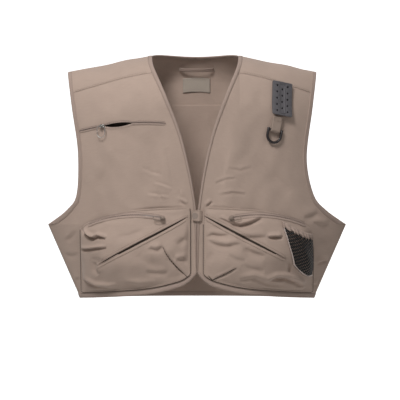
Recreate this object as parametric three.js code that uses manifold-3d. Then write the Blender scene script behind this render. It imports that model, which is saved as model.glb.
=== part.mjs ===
// Fishing vest: a short wading vest of two cloth layers, draped as it is worn.
// Millimetres, +Z up, the front faces -Y. The origin is the crown of the hang loop inside the back neck.
// "right" and "left" are the wearer's, so right is -X.
import * as THREE from "three";
import { mergeVertices } from "three/addons/utils/BufferGeometryUtils.js";
import Module from "manifold-3d";

const wasm = await Module();
wasm.setup();

// ---- Driving dimensions: heights are above the hem, half widths are from the centre line ----
const CHEST_HALF = 300;
const HEM_HALF = 235;
const SHOULDER_HALF = 250;
const ARMHOLE_HALF = 227;
const NECK_HALF = 87;
const UNDERARM_Z = 151;
const SHOULDER_Z = 457;
const NECK_Z = 490;
const NECK_STAND = 24; // how far the back neck rises above the neck points
const NECK_DROP = 56; // path from the shoulder ridge down to the middle of the back neck
const V_FOOT_Z = 174; // where the two fronts meet
const FRONT_FOOT_Z = 56; // where they part again above the hem
const HEM_SIDE_Z = 3;
const FRONT_SEAM_Z = [452, 412]; // front yoke seam, at the neck and at the armhole
const BACK_SEAM_Z = 396;

// ---- Body of the drape ----
const FRONT_DEPTH = 125;
const BACK_DEPTH = 100;
const FRONT_ROLL = 120; // height over which the front turns down from the shoulder
const BACK_ROLL = 70;
const FULLNESS = 2.6; // power of the cross-section, 2 is an ellipse-like curve
const SWAY = 9; // the shoulders hang this far towards the wearer's right

// ---- Cloth and clearances ----
const CLOTH = 1.6;
const GAP = 0.3; // between edges that meet
const YOKE_GAP = 0.9; // between the bowed yoke seam's two edges
const LAYER = 0.8; // between a layer and the curved layer that it is sewn on
const SEAM = 1.5; // side seam allowance kept clear at the fold
const BINDING_W = 8;
const BINDING_T = 2.6;
const HEM_W = 9;
const NECK_GAP = 2; // between the twisting yoke and the binding round the neck
const CORNER_GAP = 2.4; // between a front's edge band and its slanting hem band
const EDGE = 0.6; // half the gap between the two front edges

// ---- Pockets ----
const POCKET_FULL = 24; // how far a cargo pocket stands off the front
const POCKET_CLOTH = 1.2;
const POCKET_OUT = 231; // outer seam
const POCKET_TOP = [144, 180, 186]; // top seam, outer, middle and inner
const SLASH = { from: [30, 160], to: [157, 90], width: 7 };
const CHEST_ZIP = { out: 226, mid: 142, inn: 58, outZ: 336, z: 350 };
const CHEST_MOUTH = { from: 176, to: 122, height: 9 }; // where the chest zip gapes
const CHEST_BAG = { depth: 118, fullness: 18, thickness: 1 };
const CARGO_ZIP = { out: 214, mid: 139, inn: 60, outZ: 151, midZ: 170, z: 163 };
const MESH = { inn: 163, out: 226, foot: 50, topIn: 150, topOut: 126, fullness: 11 };

// ---- Zips ----
const TAPE_W = 11;
const TAPE_T = 0.9;
const COIL_W = 3;
const COIL_T = 1.3;
const SLIDER = { length: 9, width: 7, height: 3, gap: 0.9 };
const LUG = { length: 2.4, height: 5, span: 7, hole: 3.4 };
const PULL_WIRE = 1.8;
const CHEST_PULL = { width: 17, drop: 23 };
const CARGO_PULL = { width: 8, drop: 18 };

// ---- Fly patch, ring and closure ----
const PATCH = { x: 173, z: 398, width: 43, height: 71, thickness: 3, turn: 10 };
const PATCH_HOLE = { diameter: 3.6, columns: [5, 4, 5], pitchX: 11.4, pitchZ: 13.4 };
const PATCH_BASE = { width: 36, height: 60 };
const RING = { x: 158, z: 337, width: 34, drop: 27, ear: 3, stock: 5.2, turn: 12 };
const WEBBING = { width: 20, thickness: 1.6, length: 27 };
const TAB = { root: 9.5, reach: 19, height: 22, z: 169, thickness: 1.6 };
const SNAP = { cap: 12, post: 8, thickness: 1.2 };
const LOOP = { width: 70, strap: 8, thickness: 1.2, rise: 11, below: 16 };
const LABEL = { width: 56, height: 30, thickness: 0.6, below: 34 };

// ---- Colours ----
const TAUPE = { color: 0xa08f7f, roughness: 0.9 };
const TAUPE_DARK = { color: 0x8c7c6e, roughness: 0.9 };
const LINING = { color: 0x7d7064, roughness: 0.95 };
const RUBBER = { color: 0x5f5c60, roughness: 0.6 };
const BLACK = { color: 0x1c1a1a, roughness: 0.55 };
const METAL = { color: 0xb9b9bb, roughness: 0.3, metalness: 1 };
const PIPING = { color: 0xb7a59c, roughness: 0.8 };
const WHITE = { color: 0xd8d2c6, roughness: 0.9 };

const lerp = THREE.MathUtils.lerp;
const smooth = THREE.MathUtils.smoothstep;
const v2 = (x, z) => new THREE.Vector2(x, z);
const v3 = (x, y, z) => new THREE.Vector3(x, y, z);
const SIDES = { right: -1, left: 1 };

// ---- The draped body as a surface over (x, path), path running from the shoulder ridge, minus in front ----
function ridgeZ(x) {
  const a = Math.abs(x);
  if (a >= NECK_HALF) {
    return lerp(NECK_Z, SHOULDER_Z, (a - NECK_HALF) / (SHOULDER_HALF - NECK_HALF));
  }
  return NECK_Z + NECK_STAND * Math.sqrt(1 - (a / NECK_HALF) ** 2);
}

function sideHalf(z) {
  const t = Math.min(1, (z - HEM_SIDE_Z) / (UNDERARM_Z - HEM_SIDE_Z));
  return lerp(HEM_HALF, CHEST_HALF, t);
}

function sway(x, z) {
  return -SWAY * (Math.abs(x) / ARMHOLE_HALF) * smooth(z, UNDERARM_Z, lerp(UNDERARM_Z, SHOULDER_Z, 0.45));
}

function bodyPoint(x, path) {
  const roll = path < 0 ? FRONT_ROLL : BACK_ROLL;
  const far = Math.abs(path);
  const turn = Math.min(far / roll, Math.PI / 2);
  const z = ridgeZ(x) - roll * (1 - Math.cos(turn)) - Math.max(0, far - (roll * Math.PI) / 2);
  const depth = (path < 0 ? -FRONT_DEPTH : BACK_DEPTH) * Math.sin(turn);
  const y = depth * (1 - (Math.abs(x) / sideHalf(z)) ** FULLNESS);
  return v3(x + sway(x, z), y, z);
}

function pathTo(x, z, front) {
  const roll = front ? FRONT_ROLL : BACK_ROLL;
  const drop = Math.max(0, ridgeZ(x) - z);
  const far = drop < roll ? roll * Math.acos(1 - drop / roll) : (roll * Math.PI) / 2 + drop - roll;
  return front ? -far : far;
}

function bodyNormal(x, path) {
  const step = 0.5;
  const across = bodyPoint(x + step, path).sub(bodyPoint(x - step, path));
  const down = bodyPoint(x, path + step).sub(bodyPoint(x, path - step));
  return across.cross(down).normalize();
}

// A point at a path on the body, lifted off it by out.
function onPath(x, path, out = 0) {
  return bodyPoint(x, path).addScaledVector(bodyNormal(x, path), out);
}

const onFront = (x, z, out = 0) => onPath(x, pathTo(x, z, true), out);
const onBack = (x, z, out = 0) => onPath(x, pathTo(x, z, false), out);

// ---- Meshes ----
const mesh = (name, geometry, look) => {
  const made = new THREE.Mesh(geometry, new THREE.MeshStandardMaterial(look));
  made.name = name;
  return made;
};

// Drops all but the positions, merges shared corners and turns the faces outwards.
function closed(geometry) {
  const bare = new THREE.BufferGeometry().setAttribute("position", geometry.getAttribute("position"));
  bare.setIndex(geometry.index);
  const merged = mergeVertices(bare, 1e-3);
  const at = merged.getAttribute("position");
  const index = merged.index.array;
  let volume = 0;
  for (let i = 0; i < index.length; i += 3) {
    const [a, b, c] = [0, 1, 2].map((k) => new THREE.Vector3().fromBufferAttribute(at, index[i + k]));
    volume += a.dot(b.cross(c));
  }
  if (volume < 0) {
    for (let i = 0; i < index.length; i += 3) {
      [index[i + 1], index[i + 2]] = [index[i + 2], index[i + 1]];
    }
  }
  return merged;
}

// A slab of nu by nv cells: place(u, v, layer) gives a point, layer 0 is the inner face and 1 the outer.
function slab(nu, nv, place) {
  const box = new THREE.BoxGeometry(1, 1, 1, nu, nv, 1);
  const at = box.getAttribute("position");
  for (let i = 0; i < at.count; i++) {
    const p = place(at.getX(i) + 0.5, at.getY(i) + 0.5, at.getZ(i) + 0.5);
    at.setXYZ(i, p.x, p.y, p.z);
  }
  return closed(box);
}

// A closed ring of round stock: path(t) and across(t), the in-plane normal, for t from 0 to 1.
function ring(steps, sides, radius, path, across, axis) {
  const torus = new THREE.TorusGeometry(1, 0.4, sides, steps);
  const at = torus.getAttribute("position");
  for (let j = 0, n = 0; j <= sides; j++) {
    for (let i = 0; i <= steps; i++, n++) {
      const t = (i % steps) / steps;
      const turn = ((j + 0.5) / sides) * 2 * Math.PI;
      const p = path(t).clone().addScaledVector(across(t), radius * Math.cos(turn));
      p.addScaledVector(axis, radius * Math.sin(turn));
      at.setXYZ(n, p.x, p.y, p.z);
    }
  }
  return closed(torus);
}

const place = (geometry, x, y, z) => geometry.clone().translate(x, y, z);

function solidOf(geometry) {
  const g = closed(geometry.index ? geometry : mergeVertices(geometry.deleteAttribute("uv"), 1e-3));
  return new wasm.Manifold(
    new wasm.Mesh({ numProp: 3, vertProperties: g.getAttribute("position").array, triVerts: g.index.array }),
  );
}

function geometryOf(solid) {
  const m = solid.getMesh();
  const g = new THREE.BufferGeometry();
  g.setAttribute("position", new THREE.BufferAttribute(m.vertProperties, 3));
  return g.setIndex(new THREE.BufferAttribute(m.triVerts, 1));
}

function cut(geometry, ...tools) {
  return geometryOf(tools.reduce((s, t) => s.subtract(solidOf(t)), solidOf(geometry)));
}

function join(...pieces) {
  return geometryOf(pieces.slice(1).reduce((s, t) => s.add(solidOf(t)), solidOf(pieces[0])));
}

// ---- Outlines of the half vest, in (x, height) ----
const UNDERARM_V = 5 / 14; // the share of a panel's rows that lies below the underarm
const spline = (...points) => new THREE.SplineCurve(points.map((p) => v2(...p)));

const armhole = spline(
  [CHEST_HALF, UNDERARM_Z],
  [lerp(ARMHOLE_HALF, CHEST_HALF, 0.42), UNDERARM_Z + 30],
  [ARMHOLE_HALF + 8, UNDERARM_Z + 62],
  [ARMHOLE_HALF, lerp(UNDERARM_Z, SHOULDER_Z, 0.45)],
  [lerp(ARMHOLE_HALF, SHOULDER_HALF, 0.55), lerp(UNDERARM_Z, SHOULDER_Z, 0.76)],
  [SHOULDER_HALF, SHOULDER_Z],
);
const neckline = spline(
  [EDGE, V_FOOT_Z],
  [NECK_HALF * 0.14, lerp(V_FOOT_Z, NECK_Z, 0.24)],
  [NECK_HALF * 0.36, lerp(V_FOOT_Z, NECK_Z, 0.5)],
  [NECK_HALF * 0.68, lerp(V_FOOT_Z, NECK_Z, 0.74)],
  [NECK_HALF * 0.95, lerp(V_FOOT_Z, NECK_Z, 0.92)],
  [NECK_HALF, NECK_Z],
);
const frontHem = spline(
  [EDGE, FRONT_FOOT_Z],
  [HEM_HALF * 0.07, lerp(HEM_SIDE_Z, FRONT_FOOT_Z, 0.68)],
  [HEM_HALF * 0.17, lerp(HEM_SIDE_Z, FRONT_FOOT_Z, 0.46)],
  [HEM_HALF * 0.45, lerp(HEM_SIDE_Z, FRONT_FOOT_Z, 0.2)],
  [HEM_HALF, HEM_SIDE_Z],
);

// The point of a curve at a height, by halving.
function atHeight(curve, z) {
  let [low, high] = [0, 1];
  for (let i = 0; i < 30; i++) {
    const mid = (low + high) / 2;
    if (curve.getPoint(mid).y < z) low = mid;
    else high = mid;
  }
  return low;
}

// The hem's height at a distance from the centre.
function hemZ(x) {
  let [low, high] = [0, 1];
  for (let i = 0; i < 30; i++) {
    const mid = (low + high) / 2;
    if (frontHem.getPoint(mid).x < x) low = mid;
    else high = mid;
  }
  return frontHem.getPoint(low).y;
}

const edgeX = (z) => (z <= V_FOOT_Z ? EDGE : neckline.getPoint(atHeight(neckline, z)).x);
const partOf = (curve, from, to) => (t) => curve.getPoint(lerp(from, to, t));
const seamOut = atHeight(armhole, FRONT_SEAM_Z[1]);
const seamIn = atHeight(neckline, FRONT_SEAM_Z[0]);
const backSeamOut = atHeight(armhole, BACK_SEAM_Z);
const lineOf = (a, b) => (t) => a.clone().lerp(b, t);

// Two stretches of an edge, one below and one above the underarm's row.
const twoPart = (low, high) => (v) =>
  v < UNDERARM_V ? low(v / UNDERARM_V) : high((v - UNDERARM_V) / (1 - UNDERARM_V));

// A four-sided patch between its edges: u runs from the centre outwards, v upwards.
function patch(inner, outer, foot, top) {
  return (u, v) => {
    const across = inner(v).clone().lerp(outer(v), u);
    const up = foot(u).clone().lerp(top(u), v);
    const corner = foot(0).clone().lerp(foot(1), u).lerp(top(0).clone().lerp(top(1), u), v);
    return across.add(up).sub(corner);
  };
}

const sideSeam = lineOf(v2(HEM_HALF, HEM_SIDE_Z), v2(CHEST_HALF, UNDERARM_Z));
const frontPatch = patch(
  twoPart(lineOf(v2(EDGE, FRONT_FOOT_Z), v2(EDGE, V_FOOT_Z)), partOf(neckline, 0, seamIn)),
  twoPart(sideSeam, partOf(armhole, 0, seamOut)),
  partOf(frontHem, 0, 1),
  (u) => {
    const [a, b] = [neckline.getPoint(seamIn), armhole.getPoint(seamOut)];
    return v2(lerp(a.x, b.x, u), lerp(a.y, b.y, u) + 6 * Math.sin(Math.PI * u) * (1 - u));
  },
);
const backPatch = patch(
  twoPart(lineOf(v2(0, HEM_SIDE_Z), v2(0, UNDERARM_Z)), lineOf(v2(0, UNDERARM_Z), v2(0, BACK_SEAM_Z))),
  twoPart(sideSeam, partOf(armhole, 0, backSeamOut)),
  lineOf(v2(0, HEM_SIDE_Z), v2(HEM_HALF, HEM_SIDE_Z)),
  lineOf(v2(0, BACK_SEAM_Z), v2(armhole.getPoint(backSeamOut).x, BACK_SEAM_Z)),
);

// How far along a row an edge band reaches, so that the band keeps its width where the edge slants.
function inset(at, edge, v, width) {
  const step = 1e-3;
  const [a, b] = [at(edge, Math.max(0, v - step)), at(edge, Math.min(1, v + step))];
  const slant = Math.max(0.42, Math.abs(b.y - a.y) / a.distanceTo(b));
  return width / slant / at(0, v).distanceTo(at(1, v));
}

// The same along a column, from the hem up.
const footInset = (at, u, width) => width / at(u, 0).distanceTo(at(u, 1));

const ROWS = 14;
const COLUMNS = 13;

// A panel's row as a share of its height: the rows start above the hem band and stop below the yoke,
// and one row stays at the underarm.
function rowAt(at, u, v) {
  if (v < UNDERARM_V) return lerp(footInset(at, u, HEM_W + GAP), UNDERARM_V, v / UNDERARM_V);
  return lerp(UNDERARM_V, 1 - footInset(at, u, YOKE_GAP), (v - UNDERARM_V) / (1 - UNDERARM_V));
}

// A panel's column as a share of its row, inside the bindings.
function columnAt(at, u, v, hasEdge) {
  const w = BINDING_W + GAP;
  const row = rowAt(at, u, v);
  const inner = hasEdge ? inset(at, 0, row, w) : 0;
  const isSide = v < UNDERARM_V - 1e-6;
  const outer = isSide ? SEAM / at(0, row).distanceTo(at(1, row)) : inset(at, 1, row, w);
  return lerp(inner, 1 - outer, u);
}

const panelPoint = (at, u, v, hasEdge) => at(columnAt(at, u, v, hasEdge), rowAt(at, u, v));

function frontPanel(side) {
  return slab(COLUMNS, ROWS, (u, v, layer) => {
    const p = panelPoint(frontPatch, u, v, true);
    return onFront(side * p.x, p.y, (layer - 1) * CLOTH);
  });
}

function backPanel() {
  return slab(2 * COLUMNS, ROWS, (u, v, layer) => {
    const side = u < 0.5 ? -1 : 1;
    const p = panelPoint(backPatch, Math.abs(2 * u - 1), v, false);
    return onBack(side * p.x, p.y, (layer - 1) * CLOTH);
  });
}

// ---- Yoke: a horseshoe round the neck, from one front seam over the back to the other ----
const RIDGE_V = 0.3;
const CORNER_V = 0.5;
const toPath = (p, front) => v2(p.x, pathTo(p.x, p.y, front));

function yokeInner(v) {
  if (v < RIDGE_V) return toPath(neckline.getPoint(lerp(seamIn, 1, v / RIDGE_V)), true);
  const turn = (((v - RIDGE_V) / (1 - RIDGE_V)) * Math.PI) / 2;
  return v2(NECK_HALF * Math.cos(turn), NECK_DROP * Math.sin(turn) ** 1.3);
}

function yokeOuter(v) {
  if (v < RIDGE_V) return toPath(armhole.getPoint(lerp(seamOut, 1, v / RIDGE_V)), true);
  if (v < CORNER_V) {
    const t = (v - RIDGE_V) / (CORNER_V - RIDGE_V);
    return toPath(armhole.getPoint(lerp(1, backSeamOut, t)), false);
  }
  const x = lerp(armhole.getPoint(backSeamOut).x, 0, (v - CORNER_V) / (1 - CORNER_V));
  return toPath(v2(x, BACK_SEAM_Z), false);
}

// How the front seam bows away from the straight line between its ends.
function seamBow(u) {
  return toPath(frontPatch(u, 1), true).sub(yokeInner(0).lerp(yokeOuter(0), u));
}

function yokePoint(u, v, side, out) {
  const p = yokeInner(v).lerp(yokeOuter(v), u);
  if (v < RIDGE_V) p.addScaledVector(seamBow(u), 1 - v / RIDGE_V);
  return onPath(side * p.x, p.y, out);
}

function yokeSpan(v) {
  return yokeInner(v).distanceTo(yokeOuter(v));
}

const YOKE_ROWS = 20;

function yoke() {
  return slab(8, 2 * YOKE_ROWS, (u, v, layer) => {
    const side = v < 0.5 ? -1 : 1;
    const along = 1 - Math.abs(2 * v - 1);
    const neck = (BINDING_W + NECK_GAP) / yokeSpan(along);
    const rim = (along <= CORNER_V + 1e-6 ? BINDING_W + GAP : GAP) / yokeSpan(along);
    return yokePoint(lerp(neck, 1 - rim, u), along, side, (layer - 1) * CLOTH);
  });
}

// ---- Bindings: strips given by the stations that they pass, each an outer and an inner point ----
function strip(stations, thickness, extra = 0) {
  return slab(stations.length - 1, 1, (u, v, layer) => {
    const station = stations[Math.round(u * (stations.length - 1))];
    return station(v, lerp(-CLOTH - extra, thickness - CLOTH - extra, layer));
  });
}

const BAND_LIFT = (BINDING_T - CLOTH) / 2;

// A station of a front or back panel at one end of a row.
const panelStation = (at, on, edge, v, side) => (w, out) => {
  const reach = inset(at, edge, v, BINDING_W) * w;
  const p = at(edge === 0 ? reach : 1 - reach, v);
  return on(side * p.x, p.y, out);
};

const yokeStation = (edge, v, side) => (w, out) => {
  const reach = (BINDING_W / yokeSpan(v)) * w;
  return yokePoint(edge === 0 ? reach : 1 - reach, v, side, out);
};

const steps = (n, from, to) => Array.from({ length: n + 1 }, (_, i) => lerp(from, to, i / n));

// The panel's own rows from a given one up, so that a binding bends where the panel does.
const rowsOf = (at, u, first) => steps(ROWS, 0, 1).slice(first).map((v) => rowAt(at, u, v));

function frontEdgeBinding(side) {
  const [foot, ...rows] = rowsOf(frontPatch, 0, 0);
  const low = foot + footInset(frontPatch, 0, CORNER_GAP);
  return strip(
    [
      ...[low, ...rows].map((v) => panelStation(frontPatch, onFront, 0, v, side)),
      ...steps(YOKE_ROWS, 0, 1).map((v) => yokeStation(0, Math.min(v, 0.998), side)),
    ],
    BINDING_T,
    BAND_LIFT,
  );
}

function armholeBinding(side) {
  const first = Math.round(UNDERARM_V * ROWS);
  const frontRows = rowsOf(frontPatch, 1, first);
  const backRows = rowsOf(backPatch, 1, first).reverse();
  return strip(
    [
      ...frontRows.map((v) => panelStation(frontPatch, onFront, 1, v, side)),
      ...steps(YOKE_ROWS / 2, 0, CORNER_V).map((v) => yokeStation(1, v, side)),
      ...backRows.map((v) => panelStation(backPatch, onBack, 1, v, side)),
    ],
    BINDING_T,
    BAND_LIFT,
  );
}

// A hem strip: the outer edge is the panel's foot.
const hemStation = (at, on, u, side) => (w, out) => {
  const trimmed = Math.min(u, 1 - SEAM / at(0, 0).distanceTo(at(1, 0)));
  const p = at(trimmed, footInset(at, trimmed, (1 - w) * HEM_W));
  return on(side * p.x, p.y, out);
};

function hemBinding(side) {
  const columns = steps(COLUMNS, 0, 1).map((u) => columnAt(frontPatch, u, 0, true));
  return strip([0, ...columns, 1].map((u) => hemStation(frontPatch, onFront, u, side)), BINDING_T, BAND_LIFT);
}

function backHemBinding() {
  const half = steps(COLUMNS, 0, 1).map((u) => columnAt(backPatch, u, 0, false));
  const right = [...half].reverse().map((u) => hemStation(backPatch, onBack, u, SIDES.right));
  const left = half.slice(1).map((u) => hemStation(backPatch, onBack, u, SIDES.left));
  return strip([...right, ...left], BINDING_T, BAND_LIFT);
}

// ---- Cargo pockets ----
const pocketTop = spline(
  [POCKET_OUT, POCKET_TOP[0]],
  [lerp(POCKET_OUT, 0, 0.12), lerp(POCKET_TOP[0], POCKET_TOP[1], 0.5)],
  [lerp(POCKET_OUT, 0, 0.44), POCKET_TOP[1]],
  [BINDING_W + 14, POCKET_TOP[2]],
);
const pocketFoot = (x) => hemZ(x) + HEM_W + 2.5;
const POCKET_INN = BINDING_W + 4;

const pocketPatch = patch(
  (v) => {
    const z = lerp(pocketFoot(POCKET_INN), POCKET_TOP[2], v);
    return v2(Math.max(POCKET_INN, edgeX(z) + POCKET_INN), z);
  },
  (v) => v2(POCKET_OUT, lerp(pocketFoot(POCKET_OUT), POCKET_TOP[0], v)),
  (u) => {
    const x = lerp(POCKET_INN, POCKET_OUT, u);
    return v2(x, pocketFoot(x));
  },
  (u) => pocketTop.getPoint(1 - u),
);

// How far the pocket's cloth stands off the front at a point of its patch.
const pocketLift = (u, v) => POCKET_FULL * (Math.sin(Math.PI * u) * Math.sin(Math.PI * v)) ** 0.7;

// The patch's own u and v at a place, by stepping towards it.
function pocketAt(x, z) {
  let [u, v] = [0.5, 0.5];
  for (let i = 0; i < 40; i++) {
    const p = pocketPatch(u, v);
    u = THREE.MathUtils.clamp(u + (x - p.x) / 240, 0, 1);
    v = THREE.MathUtils.clamp(v + (z - p.y) / 150, 0, 1);
  }
  return [u, v];
}

const pocketFaceAt = (x, z) => LAYER + POCKET_CLOTH + pocketLift(...pocketAt(x, z));
const onPocket = (side, x, z, out = 0) => onFront(side * x, z, pocketFaceAt(x, z) + out);

// A straight slot through cloth that faces -Y, along a line of the half vest.
function slot(side, on, { from, to, width }) {
  const [a, b] = [on(side * from[0], from[1]), on(side * to[0], to[1])];
  const along = Math.hypot(b.x - a.x, b.z - a.z);
  const shape = new THREE.Shape();
  shape.moveTo(0, 0);
  shape.lineTo(width, -width / 2);
  shape.lineTo(along - width, -width / 2);
  shape.lineTo(along, 0);
  shape.lineTo(along - width, width / 2);
  shape.lineTo(width, width / 2);
  const tool = new THREE.ExtrudeGeometry(shape, { depth: 90, bevelEnabled: false });
  tool.translate(0, 0, -45).rotateX(Math.PI / 2);
  tool.rotateY(-Math.atan2(b.z - a.z, b.x - a.x));
  return tool.translate(a.x, (a.y + b.y) / 2, a.z);
}

function cargoPocket(side) {
  const skin = slab(15, 11, (u, v, layer) => {
    const p = pocketPatch(u, v);
    return onFront(side * p.x, p.y, LAYER + layer * POCKET_CLOTH + pocketLift(u, v));
  });
  return cut(skin, slot(side, onFront, SLASH));
}

// A raised welt strip along a line on a pocket.
function welt(side, { from, to }, shift, width) {
  return slab(12, 1, (u, v, layer) => {
    const x = lerp(from[0], to[0], u);
    const z = lerp(from[1], to[1], u) + shift + (v - 0.5) * width;
    return onPocket(side, x, z, LAYER + layer * POCKET_CLOTH);
  });
}

// ---- Zips ----
// The circle through three points: where a slider that keeps to the track turns.
function circleThrough(a, b, c) {
  const ab = b.clone().sub(a);
  const ac = c.clone().sub(a);
  const axis = ab.clone().cross(ac).normalize();
  const centre = ac
    .clone()
    .cross(ab.clone().cross(ac))
    .multiplyScalar(-ab.lengthSq())
    .add(ab.clone().cross(ab.clone().cross(ac)).multiplyScalar(ac.lengthSq()))
    .multiplyScalar(-1 / (2 * ab.clone().cross(ac).lengthSq()));
  return { centre: a.clone().add(centre), axis };
}

// A track in (x, height): a parabola through its outer end, middle and inner end.
function trackZ({ out, mid, inn, outZ, midZ, z }, x) {
  const m = midZ ?? z;
  const l1 = ((x - mid) * (x - inn)) / ((out - mid) * (out - inn));
  const l2 = ((x - out) * (x - inn)) / ((mid - out) * (mid - inn));
  const l3 = ((x - out) * (x - mid)) / ((inn - out) * (inn - mid));
  return outZ * l1 + m * l2 + z * l3;
}

// Tape with its coil raised down the middle.
function zipTape(on, track) {
  const tape = slab(22, 1, (u, v, layer) => {
    const x = lerp(track.out, track.inn, u);
    return on(x, trackZ(track, x) + (v - 0.5) * TAPE_W, LAYER + layer * TAPE_T);
  });
  const coil = slab(22, 1, (u, v, layer) => {
    const x = lerp(track.out - 3, track.inn + 3, u);
    return on(x, trackZ(track, x) + (v - 0.5) * COIL_W, LAYER + TAPE_T / 2 + layer * (TAPE_T / 2 + COIL_T));
  });
  return join(tape, coil);
}

// The frame of a piece that lies on the cloth: x along the track, z up the cloth, -y outwards.
function frameOn(at, x, z, turn = 0) {
  const origin = at(x, z, 0);
  const outward = at(x, z, 1).sub(origin).normalize();
  const along = at(x + 1, z, 0).sub(origin).normalize();
  const up = outward.clone().cross(along).normalize();
  if (up.z < 0) up.negate();
  const side = up.clone().cross(outward).normalize();
  const basis = new THREE.Matrix4().makeBasis(side, outward.clone().negate(), up);
  basis.multiply(new THREE.Matrix4().makeRotationY(THREE.MathUtils.degToRad(turn)));
  return { origin, basis, outward, along: v3(1, 0, 0).transformDirection(basis) };
}

function framed(frame, out, ...children) {
  const group = new THREE.Group();
  group.setRotationFromMatrix(frame.basis);
  group.position.copy(frame.origin).addScaledVector(frame.outward, out);
  return children.length ? group.add(...children) : group;
}

// The line that a pull turns about, in the cloth's plane.
const pullAxis = (frame, turn) => v3(Math.cos(turn), 0, -Math.sin(turn)).transformDirection(frame.basis);

const COIL_TOP = LAYER + TAPE_T + COIL_T;
const RUN_CLEAR = SLIDER.length / 2 + 1; // a slider stops this far from a tape's end

// A slider body that straddles the coil, with the lug that holds its pull, turned to the pull's side.
function sliderBody(turn) {
  const { length, width, height } = SLIDER;
  const base = place(new THREE.BoxGeometry(length, height - 1, width), 0, -(height - 1) / 2, 0);
  const deck = place(new THREE.BoxGeometry(length * 0.7, 1.2, width * 0.7), 0, -height + 0.5, 0);
  const lug = place(new THREE.BoxGeometry(LUG.length, LUG.height, LUG.span), 0, -height - LUG.height / 2 + 0.4, 0);
  const hole = new THREE.CylinderGeometry(LUG.hole / 2, LUG.hole / 2, 2 * LUG.length, 10);
  hole.rotateZ(Math.PI / 2).translate(0, -height - LUG.height / 2 + 0.2, 0);
  return cut(join(base, deck, lug.rotateY(turn)), hole.rotateY(turn));
}

const PULL_AXIS_OUT = SLIDER.height + LUG.height / 2 - 0.2;

// A wire loop through the lug, hanging down.
function pullRing({ width, drop }) {
  const half = width / 2;
  const corner = Math.min(half, 4);
  const outline = new THREE.Path();
  outline.moveTo(-half + corner, 0);
  outline.lineTo(half - corner, 0);
  outline.absarc(half - corner, -corner, corner, Math.PI / 2, 0, true);
  outline.lineTo(half, -drop + half);
  outline.absarc(0, -drop + half, half, 0, -Math.PI, true);
  outline.lineTo(-half, -corner);
  outline.absarc(-half + corner, -corner, corner, Math.PI, Math.PI / 2, true);
  const at = (t) => outline.getPointAt(t % 1);
  const path = (t) => v3(at(t).x, 0, at(t).y);
  const across = (t) => {
    const d = at((t + 0.004) % 1).sub(at((t + 0.996) % 1)).normalize();
    return v3(d.y, 0, -d.x);
  };
  return ring(24, 6, PULL_WIRE / 2, path, across, v3(0, 1, 0));
}

// The pull hangs down at turn 0, and lies along the track at a quarter turn.
function zipRunner(name, frame, pull, turn) {
  const slider = mesh(name + "_slider", sliderBody(turn), METAL);
  const hanging = mesh(name + "_pull", pullRing(pull), METAL);
  hanging.position.set(0, -PULL_AXIS_OUT, 0);
  hanging.rotation.y = turn;
  return framed(frame, COIL_TOP + SLIDER.gap, slider, hanging);
}

function track(name, on, zip, at) {
  const centreline = (x) => on(x, trackZ(zip, x), COIL_TOP + SLIDER.gap);
  const ends = [centreline(zip.out - RUN_CLEAR), centreline(zip.inn + RUN_CLEAR)];
  const [far, half] = at > zip.mid ? [zip.inn, zip.mid] : [zip.out - RUN_CLEAR, lerp(zip.out, at, 0.5)];
  const circle = circleThrough(centreline(far), centreline(half), centreline(at));
  return { ...circle, name, start: centreline(at), ends };
}

// ---- Chest pocket ----
const onRightChest = (x, z, out = 0) => onFront(-x, z, out);

function mouthTool() {
  const { from, to, height } = CHEST_MOUTH;
  const shape = new THREE.Shape();
  const n = 8;
  const point = (i, sign) => {
    const x = lerp(from, to, i / n);
    const p = onRightChest(x, trackZ(CHEST_ZIP, x));
    const open = height * Math.sin((Math.PI * i) / n) ** 0.8;
    return v2(p.x, p.z + (sign > 0 ? 0.3 : -0.7) * open);
  };
  for (let i = 0; i <= n; i++) {
    const p = point(i, 1);
    if (i === 0) shape.moveTo(p.x, p.y);
    else shape.lineTo(p.x, p.y);
  }
  for (let i = n - 1; i > 0; i--) {
    const p = point(i, -1);
    shape.lineTo(p.x, p.y);
  }
  const tool = new THREE.ExtrudeGeometry(shape, { depth: 30, bevelEnabled: false });
  const middle = onRightChest((from + to) / 2, CHEST_ZIP.z);
  return tool.rotateX(Math.PI / 2).translate(0, middle.y + 15, 0);
}

// The pouch behind the chest zip: its rim is sewn to the back of the front, its belly hangs inside.
function chestBag() {
  return slab(10, 8, (u, v, layer) => {
    const x = lerp(CHEST_ZIP.inn, CHEST_ZIP.out - 12, u);
    const z = lerp(CHEST_ZIP.outZ + 22 - CHEST_BAG.depth, CHEST_ZIP.outZ + 22, v);
    const belly = CHEST_BAG.fullness * (Math.sin(Math.PI * u) * Math.sin(Math.PI * v)) ** 0.5;
    return onRightChest(x, z, -CLOTH - 1.55 * LAYER - belly - (1 - layer) * CHEST_BAG.thickness);
  });
}

// ---- Mesh pocket on the left cargo pocket ----
const meshPatch = patch(
  (v) => v2(lerp(MESH.inn + 6, MESH.inn, v) + 8 * (1 - v) ** 2, lerp(MESH.foot + 26, MESH.topIn, v)),
  (v) => v2(MESH.out, lerp(MESH.foot, MESH.topOut, v)),
  (u) => v2(lerp(MESH.inn + 14, MESH.out, u), lerp(MESH.foot + 26, MESH.foot, u) - 8 * Math.sin(Math.PI * u)),
  (u) => v2(lerp(MESH.inn, MESH.out, u), lerp(MESH.topIn, MESH.topOut, u) - 4 * Math.sin(Math.PI * u)),
);
const onMesh = (p, out) => onPocket(1, p.x, p.y, out);
const meshLift = (u, v) => MESH.fullness * Math.sin(Math.PI * u) ** 0.6 * Math.sin((Math.PI * v) / 2) ** 0.6;
const MESH_T = 1;

const meshPanel = () =>
  slab(8, 8, (u, v, layer) => onMesh(meshPatch(u, v), LAYER + layer * MESH_T + meshLift(u, v)));

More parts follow.
